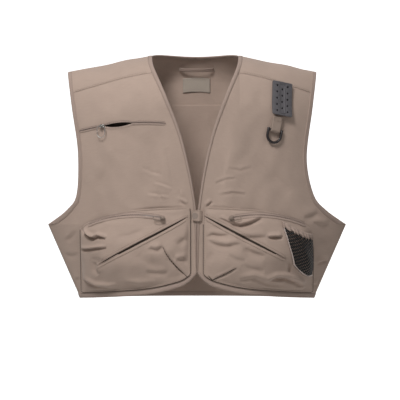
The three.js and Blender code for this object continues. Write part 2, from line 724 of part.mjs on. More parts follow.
const meshElastic = () =>
  slab(12, 1, (u, v, layer) => {
    const p = meshPatch(u, 1);
    p.y += GAP + v * 9;
    return onMesh(p, LAYER + layer * (MESH_T + 0.8) + meshLift(u, 1));
  });

function meshPiping() {
  const clear = 1.6;
  const edge = (t) => {
    if (t < 0.5) {
      const p = meshPatch(0, 1 - 2 * t);
      return v2(p.x - clear - 0.7, p.y - clear * 2 * t);
    }
    const p = meshPatch(2 * t - 1, 0);
    return v2(p.x - (clear + 0.7) * (2 - 2 * t), p.y - clear - 0.6);
  };
  return slab(24, 1, (u, v, layer) => {
    const p = edge(u);
    const d = edge(Math.min(1, u + 0.01)).sub(edge(Math.max(0, u - 0.01))).normalize();
    p.x += d.y * (v - 0.5) * 2;
    p.y -= d.x * (v - 0.5) * 2;
    return onMesh(p, LAYER + layer * 2);
  });
}

// ---- Fly patch ----
const patchFrame = frameOn(onFront, PATCH.x, PATCH.z, PATCH.turn);
const PATCH_BASE_OUT = 2.6; // clears the curve of the chest under a flat base

function patchBase() {
  const { width, height } = PATCH_BASE;
  return slab(4, 6, (u, v, layer) => {
    const flat = v3((u - 0.5) * width, 0, (v - 0.5) * height).applyMatrix4(patchFrame.basis);
    const p = patchFrame.origin.clone().add(flat);
    const x = p.x - sway(PATCH.x, p.z);
    const skin = onFront(x, p.z, LAYER);
    return layer ? p.addScaledVector(patchFrame.outward, PATCH_BASE_OUT) : skin;
  });
}

function patchPlate() {
  const { width, height, thickness } = PATCH;
  const corner = 2.5;
  const [a, b] = [width / 2, height / 2];
  const shape = new THREE.Shape();
  shape.moveTo(-a + corner, -b);
  shape.absarc(a - corner, -b + corner, corner, -Math.PI / 2, 0);
  shape.absarc(a - corner, b - corner, corner, 0, Math.PI / 2);
  shape.absarc(-a + corner, b - corner, corner, Math.PI / 2, Math.PI);
  shape.absarc(-a + corner, -b + corner, corner, Math.PI, 1.5 * Math.PI);
  const columns = PATCH_HOLE.columns;
  columns.forEach((count, i) => {
    for (let k = 0; k < count; k++) {
      const x = (i - 1) * PATCH_HOLE.pitchX;
      const z = (k - (count - 1) / 2) * PATCH_HOLE.pitchZ;
      const hole = new THREE.Path();
      shape.holes.push(hole.absarc(x, z, PATCH_HOLE.diameter / 2, 0, 2 * Math.PI, true));
    }
  });
  const plate = new THREE.ExtrudeGeometry(shape, { depth: thickness, bevelEnabled: false, curveSegments: 5 });
  return plate.rotateX(Math.PI / 2);
}

// ---- D-ring and its webbing ----
const RING_GAP = 0.5;
const BAR_RADIUS = RING.stock * 0.4;
const FOLD_RADIUS = BAR_RADIUS + RING_GAP; // inside the webbing's fold
const BAR_OUT = LAYER + WEBBING.thickness + FOLD_RADIUS;
const ringFrame = frameOn(onFront, RING.x, RING.z, RING.turn);
const RING_SIDES = 8;

function dRing() {
  const half = (RING.width - RING.stock) / 2;
  const r = RING.stock / 2;
  const steps = 22;
  const bend = half;
  const legs = RING.drop - RING.stock / 2 - bend;
  const total = 2 * (legs + RING.ear) + Math.PI * bend;
  const at = (d) => {
    if (d < legs + RING.ear) return [v2(-half, RING.ear - d), v2(-1, 0)];
    const arc = d - legs - RING.ear;
    if (arc < Math.PI * bend) {
      const turn = Math.PI + arc / bend;
      return [v2(bend * Math.cos(turn), -legs + bend * Math.sin(turn)), v2(Math.cos(turn), Math.sin(turn))];
    }
    return [v2(half, -legs + arc - Math.PI * bend), v2(1, 0)];
  };
  const rod = new THREE.CylinderGeometry(1, 1, 1, RING_SIDES, steps);
  const pos = rod.getAttribute("position");
  for (let i = 0; i < pos.count; i++) {
    const [c, n] = at((0.5 - pos.getY(i)) * total);
    const turn = Math.atan2(pos.getZ(i), pos.getX(i)) + Math.PI / RING_SIDES;
    const radius = Math.hypot(pos.getX(i), pos.getZ(i)) * r;
    pos.setXYZ(i, c.x + n.x * radius * Math.cos(turn), radius * Math.sin(turn), c.y + n.y * radius * Math.cos(turn));
  }
  const bar = new THREE.CylinderGeometry(BAR_RADIUS, BAR_RADIUS, 2 * half, RING_SIDES).rotateZ(Math.PI / 2);
  return join(rod, bar);
}

// A strap folded round the ring's bar: both plies lie on the cloth above it.
function webbing() {
  const inner = FOLD_RADIUS;
  const rise = WEBBING.length;
  const stations = [];
  stations.push([BAR_OUT + inner * 0.55, rise, 1, 0]);
  stations.push([BAR_OUT + inner, rise * 0.35, 1, 0]);
  for (let k = 0; k <= 8; k++) {
    const turn = Math.PI / 2 - (Math.PI * k) / 8;
    stations.push([BAR_OUT + inner * Math.sin(turn), -inner * Math.cos(turn), Math.sin(turn), -Math.cos(turn)]);
  }
  stations.push([BAR_OUT - inner, rise * 0.35, -1, 0]);
  stations.push([BAR_OUT - inner, rise, -1, 0]);
  return slab(stations.length - 1, 1, (u, v, layer) => {
    const [out, z, no, nz] = stations[Math.round(u * (stations.length - 1))];
    const thick = layer * WEBBING.thickness;
    return v3((v - 0.5) * WEBBING.width, -(out + no * thick), z + nz * thick);
  });
}

// ---- Front closure ----
const tabOut = LAYER + BAND_LIFT + SNAP.thickness * 2 + GAP;
const TAB_ROOT_OUT = LAYER + BAND_LIFT; // sewn down at its root

function closureTab() {
  return slab(6, 2, (u, v, layer) => {
    const x = lerp(TAB.root, TAB.root - TAB.reach, u);
    const half = (TAB.height / 2) * (1 - 0.25 * u ** 3);
    const out = lerp(TAB_ROOT_OUT, tabOut, smooth(u, 0, 0.34));
    return onFront(x, TAB.z + (2 * v - 1) * half, out + layer * TAB.thickness);
  });
}

const snapFrame = frameOn(onFront, TAB.root - TAB.reach * 0.7, TAB.z);
const disc = (diameter, thickness) =>
  new THREE.CylinderGeometry(diameter / 2, diameter / 2, thickness, 20).translate(0, -thickness / 2, 0);

// ---- Hang loop and label, inside the back neck ----
const BACK_NECK = NECK_DROP + BINDING_W + 4;

function hangLoop() {
  const arc = (t) => LOOP.rise * Math.sin(Math.PI * t) ** 0.7;
  return slab(14, 1, (u, v, layer) => {
    const x = (u - 0.5) * LOOP.width;
    const path = BACK_NECK + LOOP.below - LOOP.strap * v;
    return onPath(x, path, -CLOTH - LAYER - arc(u) - (1 - layer) * LOOP.thickness);
  });
}

function neckLabel() {
  return slab(4, 2, (u, v, layer) => {
    const x = (u - 0.5) * LABEL.width;
    const path = BACK_NECK + LABEL.below + LABEL.height * (1 - v);
    return onPath(x, path, -CLOTH - LAYER - (1 - layer) * LABEL.thickness);
  });
}

// ---- Assembly ----
const vest = new THREE.Group();
vest.add(mesh("back_panel", backPanel(), TAUPE), mesh("yoke", yoke(), TAUPE));
vest.add(mesh("hem_binding_back", backHemBinding(), TAUPE_DARK));
for (const [name, side] of Object.entries(SIDES)) {
  const isRight = name === "right";
  const panel = frontPanel(side);
  vest.add(mesh("front_panel_" + name, isRight ? cut(panel, mouthTool()) : panel, TAUPE));
  vest.add(mesh("front_edge_binding_" + name, frontEdgeBinding(side), TAUPE_DARK));
  vest.add(mesh("armhole_binding_" + name, armholeBinding(side), TAUPE_DARK));
  vest.add(mesh("hem_binding_" + name, hemBinding(side), TAUPE_DARK));
  vest.add(mesh("cargo_pocket_" + name, cargoPocket(side), TAUPE));
  vest.add(mesh("slash_welt_upper_" + name, welt(side, SLASH, SLASH.width / 2 + 5, 4), TAUPE));
  vest.add(mesh("slash_welt_lower_" + name, welt(side, SLASH, -SLASH.width / 2 - 5, 4), TAUPE));
}

const zips = [];
const onRightPocket = (x, z, out = 0) => onPocket(-1, x, z, out);
const onLeftPocket = (x, z, out = 0) => onPocket(1, x, z, out);
const QUARTER = Math.PI / 2;
const zipPlan = [
  ["chest_zip", onRightChest, CHEST_ZIP, 178, CHEST_PULL, 0],
  ["cargo_zip_right", onRightPocket, CARGO_ZIP, 66, CARGO_PULL, QUARTER],
  ["cargo_zip_left", onLeftPocket, CARGO_ZIP, 66, CARGO_PULL, -QUARTER],
];
for (const [name, on, plan, at, pull, turn] of zipPlan) {
  const tape = zipTape(on, plan);
  vest.add(mesh(name + "_tape", name === "chest_zip" ? cut(tape, mouthTool()) : tape, TAUPE_DARK));
  const frame = frameOn(on, at, trackZ(plan, at));
  vest.add(zipRunner(name, frame, pull, turn));
  zips.push({ ...track(name, on, plan, at), frame, pullAxis: pullAxis(frame, turn) });
}
vest.add(mesh("chest_pocket_bag", chestBag(), LINING));

vest.add(mesh("mesh_pocket_panel", meshPanel(), BLACK));
vest.add(mesh("mesh_pocket_elastic", meshElastic(), TAUPE_DARK));
vest.add(mesh("mesh_pocket_piping", meshPiping(), PIPING));

vest.add(mesh("fly_patch_base", patchBase(), LINING));
vest.add(framed(patchFrame, PATCH_BASE_OUT + GAP, mesh("fly_patch_plate", patchPlate(), RUBBER)));

const dRingMesh = mesh("d_ring", dRing(), BLACK);
dRingMesh.position.set(0, -BAR_OUT, 0);
vest.add(framed(ringFrame, 0, dRingMesh, mesh("d_ring_webbing", webbing(), TAUPE_DARK)));

vest.add(mesh("closure_tab", closureTab(), TAUPE));
const studOut = LAYER + BAND_LIFT;
vest.add(framed(snapFrame, studOut, mesh("snap_stud", disc(SNAP.post, SNAP.thickness), METAL)));
const socketOut = studOut + SNAP.thickness + GAP;
vest.add(framed(snapFrame, socketOut, mesh("snap_socket", disc(SNAP.cap, SNAP.thickness - GAP), METAL)));

vest.add(mesh("hang_loop", hangLoop(), TAUPE_DARK));
vest.add(mesh("neck_label", neckLabel(), WHITE));

const crown = onPath(0, BACK_NECK + LOOP.below - LOOP.strap, -CLOTH - LAYER - LOOP.rise);
vest.position.copy(crown).negate();
vest.updateMatrixWorld(true);

// The turning line of each moving piece, in the frame of the part.
const toPart = (p) => p.clone().sub(crown);
vest.userData.hinges = [
  ...zips.flatMap(({ name, centre, axis, start, ends, frame, pullAxis }) => [
    { name: name + "_slider", point: toPart(centre), axis, start: toPart(start), ends: ends.map(toPart) },
    {
      name: name + "_pull",
      point: toPart(frame.origin.clone().addScaledVector(frame.outward, COIL_TOP + SLIDER.gap + PULL_AXIS_OUT)),
      axis: pullAxis,
    },
  ]),
  {
    name: "d_ring",
    point: toPart(ringFrame.origin.clone().addScaledVector(ringFrame.outward, BAR_OUT)),
    axis: ringFrame.along,
  },
  {
    name: "fly_patch_plate",
    point: toPart(
      v3(0, 0, PATCH.height / 2)
        .transformDirection(patchFrame.basis)
        .multiplyScalar(PATCH.height / 2)
        .add(patchFrame.origin)
        .addScaledVector(patchFrame.outward, PATCH_BASE_OUT + GAP),
    ),
    axis: patchFrame.along,
  },
  {
    name: "closure_tab",
    point: toPart(onFront(TAB.root, TAB.z, TAB_ROOT_OUT)),
    axis: v3(0, 0, 1),
  },
];

// Flat faces that other things can rest on, in the frame of the part.
const fromFrame = (frame, x, out, z) =>
  toPart(v3(x, 0, z).applyMatrix4(frame.basis).add(frame.origin).addScaledVector(frame.outward, out));
const facetOut = BAR_OUT + (RING.stock / 2) * Math.cos(Math.PI / RING_SIDES);
vest.userData.faces = [
  {
    name: "fly_patch_face",
    point: fromFrame(patchFrame, PATCH_HOLE.pitchX / 2, PATCH_BASE_OUT + GAP + PATCH.thickness, 0),
    normal: patchFrame.outward,
  },
  {
    name: "d_ring_leg",
    point: fromFrame(ringFrame, -(RING.width - RING.stock) / 2, facetOut, -2),
    normal: ringFrame.outward,
  },
];

export default vest;
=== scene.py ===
"""A wading vest in taupe cotton poplin: bound edges, a yoke, two cargo pockets with slanted openings,
a zipped chest pocket, a net pocket, a fly patch and a D-ring.

Lengths are millimetres until they reach a mesh, +Z is up and the front faces -Y. Right is the wearer's, so -X.
"""

import math
from contextlib import contextmanager
from functools import partial

import bmesh
import bpy
import numpy as np
from mathutils import Matrix, Vector


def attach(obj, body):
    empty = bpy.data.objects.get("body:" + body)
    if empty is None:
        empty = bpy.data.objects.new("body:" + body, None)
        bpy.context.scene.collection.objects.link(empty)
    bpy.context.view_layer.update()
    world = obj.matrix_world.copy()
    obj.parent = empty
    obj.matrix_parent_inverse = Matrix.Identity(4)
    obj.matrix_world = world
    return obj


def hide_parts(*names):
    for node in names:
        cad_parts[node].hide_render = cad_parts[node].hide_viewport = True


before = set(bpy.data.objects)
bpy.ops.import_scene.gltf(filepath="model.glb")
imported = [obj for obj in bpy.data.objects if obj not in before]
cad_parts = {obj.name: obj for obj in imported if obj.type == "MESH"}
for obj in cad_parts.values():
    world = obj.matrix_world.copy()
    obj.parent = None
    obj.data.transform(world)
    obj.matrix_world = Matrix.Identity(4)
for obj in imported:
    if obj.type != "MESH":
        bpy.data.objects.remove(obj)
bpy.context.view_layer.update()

bl_info = {
    "name": "Wading vest",
    "version": (1, 0, 0),
    "blender": (4, 5, 0),
    "location": "3D View > Sidebar > Vest",
    "description": "Sews a wading vest round its packed frame",
    "category": "Add Mesh",
}

MM = 0.001
CROWN = np.array([0.0, 77.759, 468.579])  # the hang loop's crown, measured from the hem and the side seams

# ---- The cut of the vest, as the frame has it ----
CHEST_HALF, HEM_HALF, SHOULDER_HALF, ARMHOLE_HALF, NECK_HALF = 300, 235, 250, 227, 87
UNDERARM_Z, SHOULDER_Z, NECK_Z, NECK_STAND, NECK_DROP = 151, 457, 490, 24, 56
V_FOOT_Z, FRONT_FOOT_Z, HEM_SIDE_Z, BACK_SEAM_Z = 174, 56, 3, 396
FRONT_SEAM_Z = (452, 412)
FRONT_DEPTH, BACK_DEPTH, FRONT_ROLL, BACK_ROLL = 125, 100, 120, 70
FULLNESS, SWAY = 2.6, 9
LAYER, BINDING_W, HEM_W, EDGE = 0.8, 8, 9, 0.6
UNDERARM_V = 5 / 14
TRIM = 2.5  # a panel ends this far inside its bindings' outer edges
RIDGE_V, CORNER_V = 0.3, 0.5
SIDES = {"right": -1, "left": 1}

# ---- Pockets ----
POCKET_FULL, POCKET_CLOTH, POCKET_OUT, POCKET_INN = 24, 1.2, 231, 12
POCKET_TOP = (144, 180, 186)
POCKET_SPAN, POCKET_RISE = POCKET_OUT - POCKET_INN, 140
SLASH_FROM, SLASH_TO = (30, 160), (157, 90)
CHEST_ZIP = {"out": 226, "mid": 142, "inn": 58, "z_out": 336, "z_mid": 350, "z_inn": 350}
CARGO_ZIP = {"out": 214, "mid": 139, "inn": 60, "z_out": 151, "z_mid": 170, "z_inn": 163}
MOUTH_OUT, MOUTH_INN, MOUTH_HEIGHT = 176, 122, 9
NET = {"inn": 163, "out": 226, "foot": 50, "top_inn": 150, "top_out": 126, "fullness": 11}

# ---- Small parts ----
PATCH_W, PATCH_H, PATCH_T, PATCH_OUT = 43, 71, 3, 2.9
HOLE_D, HOLE_COLUMNS, HOLE_X, HOLE_Z = 4.0, (5, 4, 5), 11.4, 13.4
RING_W, RING_DROP, RING_EAR, RING_STOCK = 34, 27, 3, 5.2
PATCH_AT, RING_AT = (173, 398, 10), (158, 337, 12)  # from the centre line, over the hem, and degrees of turn
WEB_W, WEB_T, WEB_LENGTH = 20, 1.6, 27
TAB_ROOT, TAB_REACH, TAB_H, TAB_Z, TAB_T = 9.5, 19, 22, 169, 1.6

# ---- Studio, in metres ----
FLOOR_BACK, SWEEP_R, SWEEP_TOP, SWEEP_HALF = 5.2, 1.1, 5.0, 8.0
LIGHTS_AIM = (0, -0.12, -0.24)

WELD = 2e-5  # points nearer than this are one, in metres


# ---------------------------------------------------------------- settings
def linear(text):
    """An sRGB hex colour as a linear RGBA colour."""
    parts = [int(text[i : i + 2], 16) / 255 for i in (1, 3, 5)]
    return tuple(p / 12.92 if p <= 0.04045 else ((p + 0.055) / 1.055) ** 2.4 for p in parts) + (1.0,)


def colour_setting(label, text, note):
    """A colour that a user may change."""
    return bpy.props.FloatVectorProperty(
        name=label, description=note, size=4, subtype="COLOR", min=0, max=1, default=linear(text)
    )


def length_setting(label, millimetres, note):
    """A length that a user may change, kept in metres."""
    return bpy.props.FloatProperty(
        name=label, description=note, default=millimetres * MM, min=0, unit="LENGTH", subtype="DISTANCE"
    )


class VestSewing(bpy.types.PropertyGroup):
    """Cloth and thread sizes."""

    cloth: length_setting("Cloth", 1.3, "Thickness of a sewn ply of poplin with its facing")
    pocket_cloth: length_setting("Pocket cloth", 1.0, "Thickness of a cargo pocket's skin")
    grid: length_setting("Grid", 2.1, "Distance between the points of a panel")
    stitch: length_setting("Stitch", 3.4, "Distance from one stitch to the next")
    thread: length_setting("Thread", 0.62, "Thickness of the sewing thread")
    slack: bpy.props.FloatProperty(name="Slack", description="How strongly the cloth folds", default=1.2, min=0, max=2)


class VestColours(bpy.types.PropertyGroup):
    """Finish colours."""

    poplin: colour_setting("Poplin", "#b09b8e", "Taupe cotton of the panels and pockets")
    binding: colour_setting("Binding", "#a69287", "Bias tape round the edges")
    # Painted shade: the pockets' lining colour, darkened so that it also paints the shade inside the pockets and on the
    # dark strips that stand for shadow lines on the bags.
    lining: colour_setting("Lining", "#4c423b", "Inside of the pockets")
    thread: colour_setting("Thread", "#8f7e71", "Sewing thread")
    rubber: colour_setting("Rubber", "#5a575a", "Moulded fly patch")
    net: colour_setting("Net", "#1d1a19", "Knotless net of the small pocket")
    piping: colour_setting("Piping", "#c9b8b0", "Cord edge of the net pocket")
    webbing: colour_setting("Webbing", "#9c8a7e", "Strap that holds the ring")


class VestStage(bpy.types.PropertyGroup):
    """Camera, floor and lights."""

    distance: length_setting("Camera distance", 4444, "From the lens to the middle of the vest")
    lens: bpy.props.FloatProperty(name="Lens", description="Focal length", default=200, min=20, max=300, unit="CAMERA")
    floor_drop: length_setting("Floor drop", 1100, "From the hem down to the floor")
    key: bpy.props.FloatProperty(name="Key light", description="Power of the main light", default=43, unit="POWER")
    fill: bpy.props.FloatProperty(name="Fill light", description="Power of the second light", default=3, unit="POWER")


# ---------------------------------------------------------------- the draped body
def lerp(a, b, t):
    return a + (b - a) * t


def smooth(value, low, high):
    t = np.clip((value - low) / (high - low), 0, 1)
    return t * t * (3 - 2 * t)


def ridge_z(x):
    """Height of the shoulder line over the hem."""
    a = np.abs(x)
    slope = lerp(NECK_Z, SHOULDER_Z, (a - NECK_HALF) / (SHOULDER_HALF - NECK_HALF))
    neck = NECK_Z + NECK_STAND * np.clip(1 - (a / NECK_HALF) ** 2, 0, None) ** 0.85
    return np.where(a >= NECK_HALF, slope, neck)


def side_half(z):
    """Half width of the body at a height."""
    return lerp(HEM_HALF, CHEST_HALF, np.minimum(1, (z - HEM_SIDE_Z) / (UNDERARM_Z - HEM_SIDE_Z)))


def sway(x, z):
    return -SWAY * (np.abs(x) / ARMHOLE_HALF) * smooth(z, UNDERARM_Z, lerp(UNDERARM_Z, SHOULDER_Z, 0.45))


def body_point(x, path):
    """A point of the body at a distance from the shoulder line, minus in front."""
    roll = np.where(path < 0, FRONT_ROLL, BACK_ROLL)
    far = np.abs(path)
    turn = np.minimum(far / roll, math.pi / 2)
    z = ridge_z(x) - roll * (1 - np.cos(turn)) - np.maximum(0, far - roll * math.pi / 2)
    depth = np.where(path < 0, -FRONT_DEPTH, BACK_DEPTH) * np.sin(turn)
    y = depth * (1 - (np.abs(x) / side_half(z)) ** FULLNESS)
    return np.stack([x + sway(x, z), y, z], -1)


def path_to(x, z, front):
    """Distance over the body from the shoulder line to a height."""
    roll = FRONT_ROLL if front else BACK_ROLL
    drop = np.maximum(0, ridge_z(x) - z)
    near = roll * np.arccos(np.clip(1 - drop / roll, -1, 1))
    far = np.where(drop < roll, near, roll * math.pi / 2 + drop - roll)
    return -far if front else far


def body_normal(x, path, step=0.5):
    across = body_point(x + step, path) - body_point(x - step, path)
    down = body_point(x, path + step) - body_point(x, path - step)
    n = np.cross(across, down)
    return n / np.linalg.norm(n, axis=-1, keepdims=True)


def drape(x, path, out=0.0):
    """Points on the body, lifted off it by out, in metres from the crown, and the way they face."""
    x, path, out = np.broadcast_arrays(np.asarray(x, float), np.asarray(path, float), np.asarray(out, float))
    n = body_normal(x, path)
    return (body_point(x, path) + n * out[..., None] - CROWN) * MM, n


def on_front(x, z, out=0.0):
    return drape(x, path_to(x, z, True), out)


def on_back(x, z, out=0.0):
    return drape(x, path_to(x, z, False), out)


# ---------------------------------------------------------------- outlines of the half vest
def spline(points):
    """A smooth curve through points, as a function of its share from 0 to 1."""
    p = np.array(points, float)

    def at(t):
        place = np.clip(np.asarray(t, float), 0, 1) * (len(p) - 1)
        i = np.minimum(place.astype(int), len(p) - 2)
        w = (place - i)[..., None]
        a, b, c, d = p[np.maximum(i - 1, 0)], p[i], p[i + 1], p[np.minimum(i + 2, len(p) - 1)]
        m, n = (c - a) / 2, (d - b) / 2
        return (2 * b - 2 * c + m + n) * w**3 + (-3 * b + 3 * c - 2 * m - n) * w**2 + m * w + b

    return at


armhole = spline(
    [
        (CHEST_HALF, UNDERARM_Z),
        (lerp(ARMHOLE_HALF, CHEST_HALF, 0.42), UNDERARM_Z + 30),
        (ARMHOLE_HALF + 8, UNDERARM_Z + 62),
        (ARMHOLE_HALF, lerp(UNDERARM_Z, SHOULDER_Z, 0.45)),
        (lerp(ARMHOLE_HALF, SHOULDER_HALF, 0.55), lerp(UNDERARM_Z, SHOULDER_Z, 0.76)),
        (SHOULDER_HALF, SHOULDER_Z),
    ]
)
neckline = spline(
    [(EDGE, V_FOOT_Z)]
    + [
        (NECK_HALF * a, lerp(V_FOOT_Z, NECK_Z, b))
        for a, b in ((0.14, 0.24), (0.36, 0.5), (0.68, 0.74), (0.95, 0.92), (1, 1))
    ]
)
front_hem = spline(
    [(EDGE, FRONT_FOOT_Z)]
    + [(HEM_HALF * a, lerp(HEM_SIDE_Z, FRONT_FOOT_Z, b)) for a, b in ((0.07, 0.68), (0.17, 0.46), (0.45, 0.2), (1, 0))]
)
SHARES = np.linspace(0, 1, 800)


def at_height(curve, z):
    return np.interp(z, curve(SHARES)[:, 1], SHARES)


def hem_z(x):
    return np.interp(x, front_hem(SHARES)[:, 0], front_hem(SHARES)[:, 1])


def edge_x(z):
    """Where the front edge runs at a height."""
    return np.where(z <= V_FOOT_Z, EDGE, np.interp(z, neckline(SHARES)[:, 1], neckline(SHARES)[:, 0]))


def rim_x(z):
    """Where the armhole or the side seam runs at a height."""
    return np.where(z <= UNDERARM_Z, side_half(z), np.interp(z, armhole(SHARES)[:, 1], armhole(SHARES)[:, 0]))


seam_out = float(at_height(armhole, FRONT_SEAM_Z[1]))
seam_in = float(at_height(neckline, FRONT_SEAM_Z[0]))
back_seam_out = float(at_height(armhole, BACK_SEAM_Z))


def line(a, b):
    a, b = np.array(a, float), np.array(b, float)
    return lambda t: a + (b - a) * np.asarray(t, float)[..., None]


def two_part(low, high):
    """Two stretches of an edge, one below and one above the underarm's row."""

    def at(v):
        v = np.asarray(v, float)
        under = low(np.clip(v / UNDERARM_V, 0, 1))
        over = high(np.clip((v - UNDERARM_V) / (1 - UNDERARM_V), 0, 1))
        return np.where((v < UNDERARM_V)[..., None], under, over)

    return at


def patch(inner, outer, foot, top):
    """A four-sided piece between its edges: u runs outwards, v upwards."""

    def at(u, v):
        u, v = np.broadcast_arrays(np.asarray(u, float), np.asarray(v, float))
        a, b = u[..., None], v[..., None]
        corner = lerp(lerp(foot(0.0 * u), foot(0.0 * u + 1), a), lerp(top(0.0 * u), top(0.0 * u + 1), a), b)
        return lerp(inner(v), outer(v), a) + lerp(foot(u), top(u), b) - corner

    return at


def front_top(u):
    a, b = neckline(seam_in), armhole(seam_out)
    u = np.asarray(u, float)
    z = lerp(a[1], b[1], u) + 6 * np.sin(math.pi * u) * (1 - u)
    return np.stack([lerp(a[0], b[0], u), z], -1)


side_seam = line((HEM_HALF, HEM_SIDE_Z), (CHEST_HALF, UNDERARM_Z))
front_patch = patch(
    two_part(line((EDGE, FRONT_FOOT_Z), (EDGE, V_FOOT_Z)), lambda t: neckline(t * seam_in)),
    two_part(side_seam, lambda t: armhole(t * seam_out)),
    front_hem,
    front_top,
)
back_patch = patch(
    two_part(line((0, HEM_SIDE_Z), (0, UNDERARM_Z)), line((0, UNDERARM_Z), (0, BACK_SEAM_Z))),
    two_part(side_seam, lambda t: armhole(t * back_seam_out)),
    line((0, HEM_SIDE_Z), (HEM_HALF, HEM_SIDE_Z)),
    line((0, BACK_SEAM_Z), (float(armhole(back_seam_out)[0]), BACK_SEAM_Z)),
)


def inset(at, edge, v, width):
    """How far along a row an edge band of a given width reaches."""
    a, b = at(edge, np.maximum(0, v - 1e-3)), at(edge, np.minimum(1, v + 1e-3))
    slant = np.maximum(0.42, np.abs(b[..., 1] - a[..., 1]) / np.linalg.norm(b - a, axis=-1))
    return width / slant / np.linalg.norm(at(0, v) - at(1, v), axis=-1)


def foot_inset(at, u, width):
    return width / np.linalg.norm(at(u, 0) - at(u, 1), axis=-1)


def to_path(p, front):
    return np.stack([p[..., 0], path_to(p[..., 0], p[..., 1], front)], -1)


def yoke_inner(v):
    v = np.asarray(v, float)
    front = to_path(neckline(lerp(seam_in, 1, np.clip(v / RIDGE_V, 0, 1))), True)
    turn = np.clip((v - RIDGE_V) / (1 - RIDGE_V), 0, 1) * math.pi / 2
    back = np.stack([NECK_HALF * np.cos(turn), NECK_DROP * np.sin(turn) ** 1.3], -1)
    return np.where((v < RIDGE_V)[..., None], front, back)


def yoke_outer(v):
    v = np.asarray(v, float)
    front = to_path(armhole(lerp(seam_out, 1, np.clip(v / RIDGE_V, 0, 1))), True)
    rim = to_path(armhole(lerp(1, back_seam_out, np.clip((v - RIDGE_V) / (CORNER_V - RIDGE_V), 0, 1))), False)
    x = lerp(float(armhole(back_seam_out)[0]), 0, np.clip((v - CORNER_V) / (1 - CORNER_V), 0, 1))
    back = to_path(np.stack([x, BACK_SEAM_Z + 0 * x], -1), False)
    v = v[..., None]
    return np.where(v < RIDGE_V, front, np.where(v < CORNER_V, rim, back))


def yoke_place(u, v):
    """A point of the half yoke as (x, path): u from the neck to the rim, v from the front seam to the back."""
    u, v = np.broadcast_arrays(np.asarray(u, float), np.asarray(v, float))
    p = lerp(yoke_inner(v), yoke_outer(v), u[..., None])
    bow = to_path(front_patch(u, 1 + 0 * u), True) - lerp(yoke_inner(0 * v), yoke_outer(0 * v), u[..., None])
    return p + bow * np.clip(1 - v / RIDGE_V, 0, 1)[..., None]


def yoke_span(v):
    return np.linalg.norm(yoke_inner(v) - yoke_outer(v), axis=-1)


def track_z(zip_plan, x):
    """Height of a zip's line: a parabola through its two ends and its middle."""
    out, mid, inn = zip_plan["out"], zip_plan["mid"], zip_plan["inn"]
    a = (x - mid) * (x - inn) / ((out - mid) * (out - inn))
    b = (x - out) * (x - inn) / ((mid - out) * (mid - inn))
    c = (x - out) * (x - mid) / ((inn - out) * (inn - mid))
    return zip_plan["z_out"] * a + zip_plan["z_mid"] * b + zip_plan["z_inn"] * c


# ---------------------------------------------------------------- folds
def fold(x, z, points, depth, width, heap=0.6):
    """One fold: a valley along the points, with the cloth heaped on the left of the way that they run."""
    p = np.array(points, float)
    lengths = np.linalg.norm(np.diff(p, axis=0), axis=1)
    best, side, share = np.full(x.shape, 1e9), np.zeros(x.shape), np.zeros(x.shape)
    for i, length in enumerate(lengths):
        dx, dz = (p[i + 1] - p[i]) / length
        along = np.clip((x - p[i, 0]) * dx + (z - p[i, 1]) * dz, 0, length)
        ex, ez = x - p[i, 0] - along * dx, z - p[i, 1] - along * dz
        d = np.hypot(ex, ez)
        near = d < best
        best = np.where(near, d, best)
        side = np.where(near, np.sign(dx * ez - dz * ex), side)
        share = np.where(near, (lengths[:i].sum() + along) / lengths.sum(), share)
    taper = np.sin(math.pi * np.clip(share, 0, 1)) ** 0.5
    # The wall under the heap is steep and the other one runs out slowly.
    wall = np.where(side > 0, 0.55 * width, 1.3 * width)
    valley = -np.exp(-((best / wall) ** 2))
    bank = heap * np.exp(-(((best * side - 1.5 * width) / (1.3 * width)) ** 2))
    return depth * taper * (valley + bank)


def ripples(x, z, waves):
    """Slow waves of slack cloth: (wavelength, direction in degrees, height, start)."""
    total = 0 * x
    for length, degrees, height, start in waves:
        a = math.radians(degrees)
        along = x * math.cos(a) + z * math.sin(a)
        over = z * math.cos(a) - x * math.sin(a)
        total = total + height * np.sin(2 * math.pi * along / length + start + 0.9 * np.sin(over / (0.4 * length)))
    return total


FRONT_WAVES = ((150, 8, 1.5, 0.4), (92, -14, 0.9, 2.1), (61, 24, 0.5, 4.0), (37, -35, 0.25, 1.2))
POCKET_WAVES = ((110, 60, 1.2, 0.9), (71, -40, 0.9, 2.7), (43, 75, 0.55, 4.4), (27, 20, 0.28, 0.3))
BACK_WAVES = ((170, 4, 2.4, 1.0), (108, -9, 1.3, 3.1), (66, 15, 0.6, 0.2))

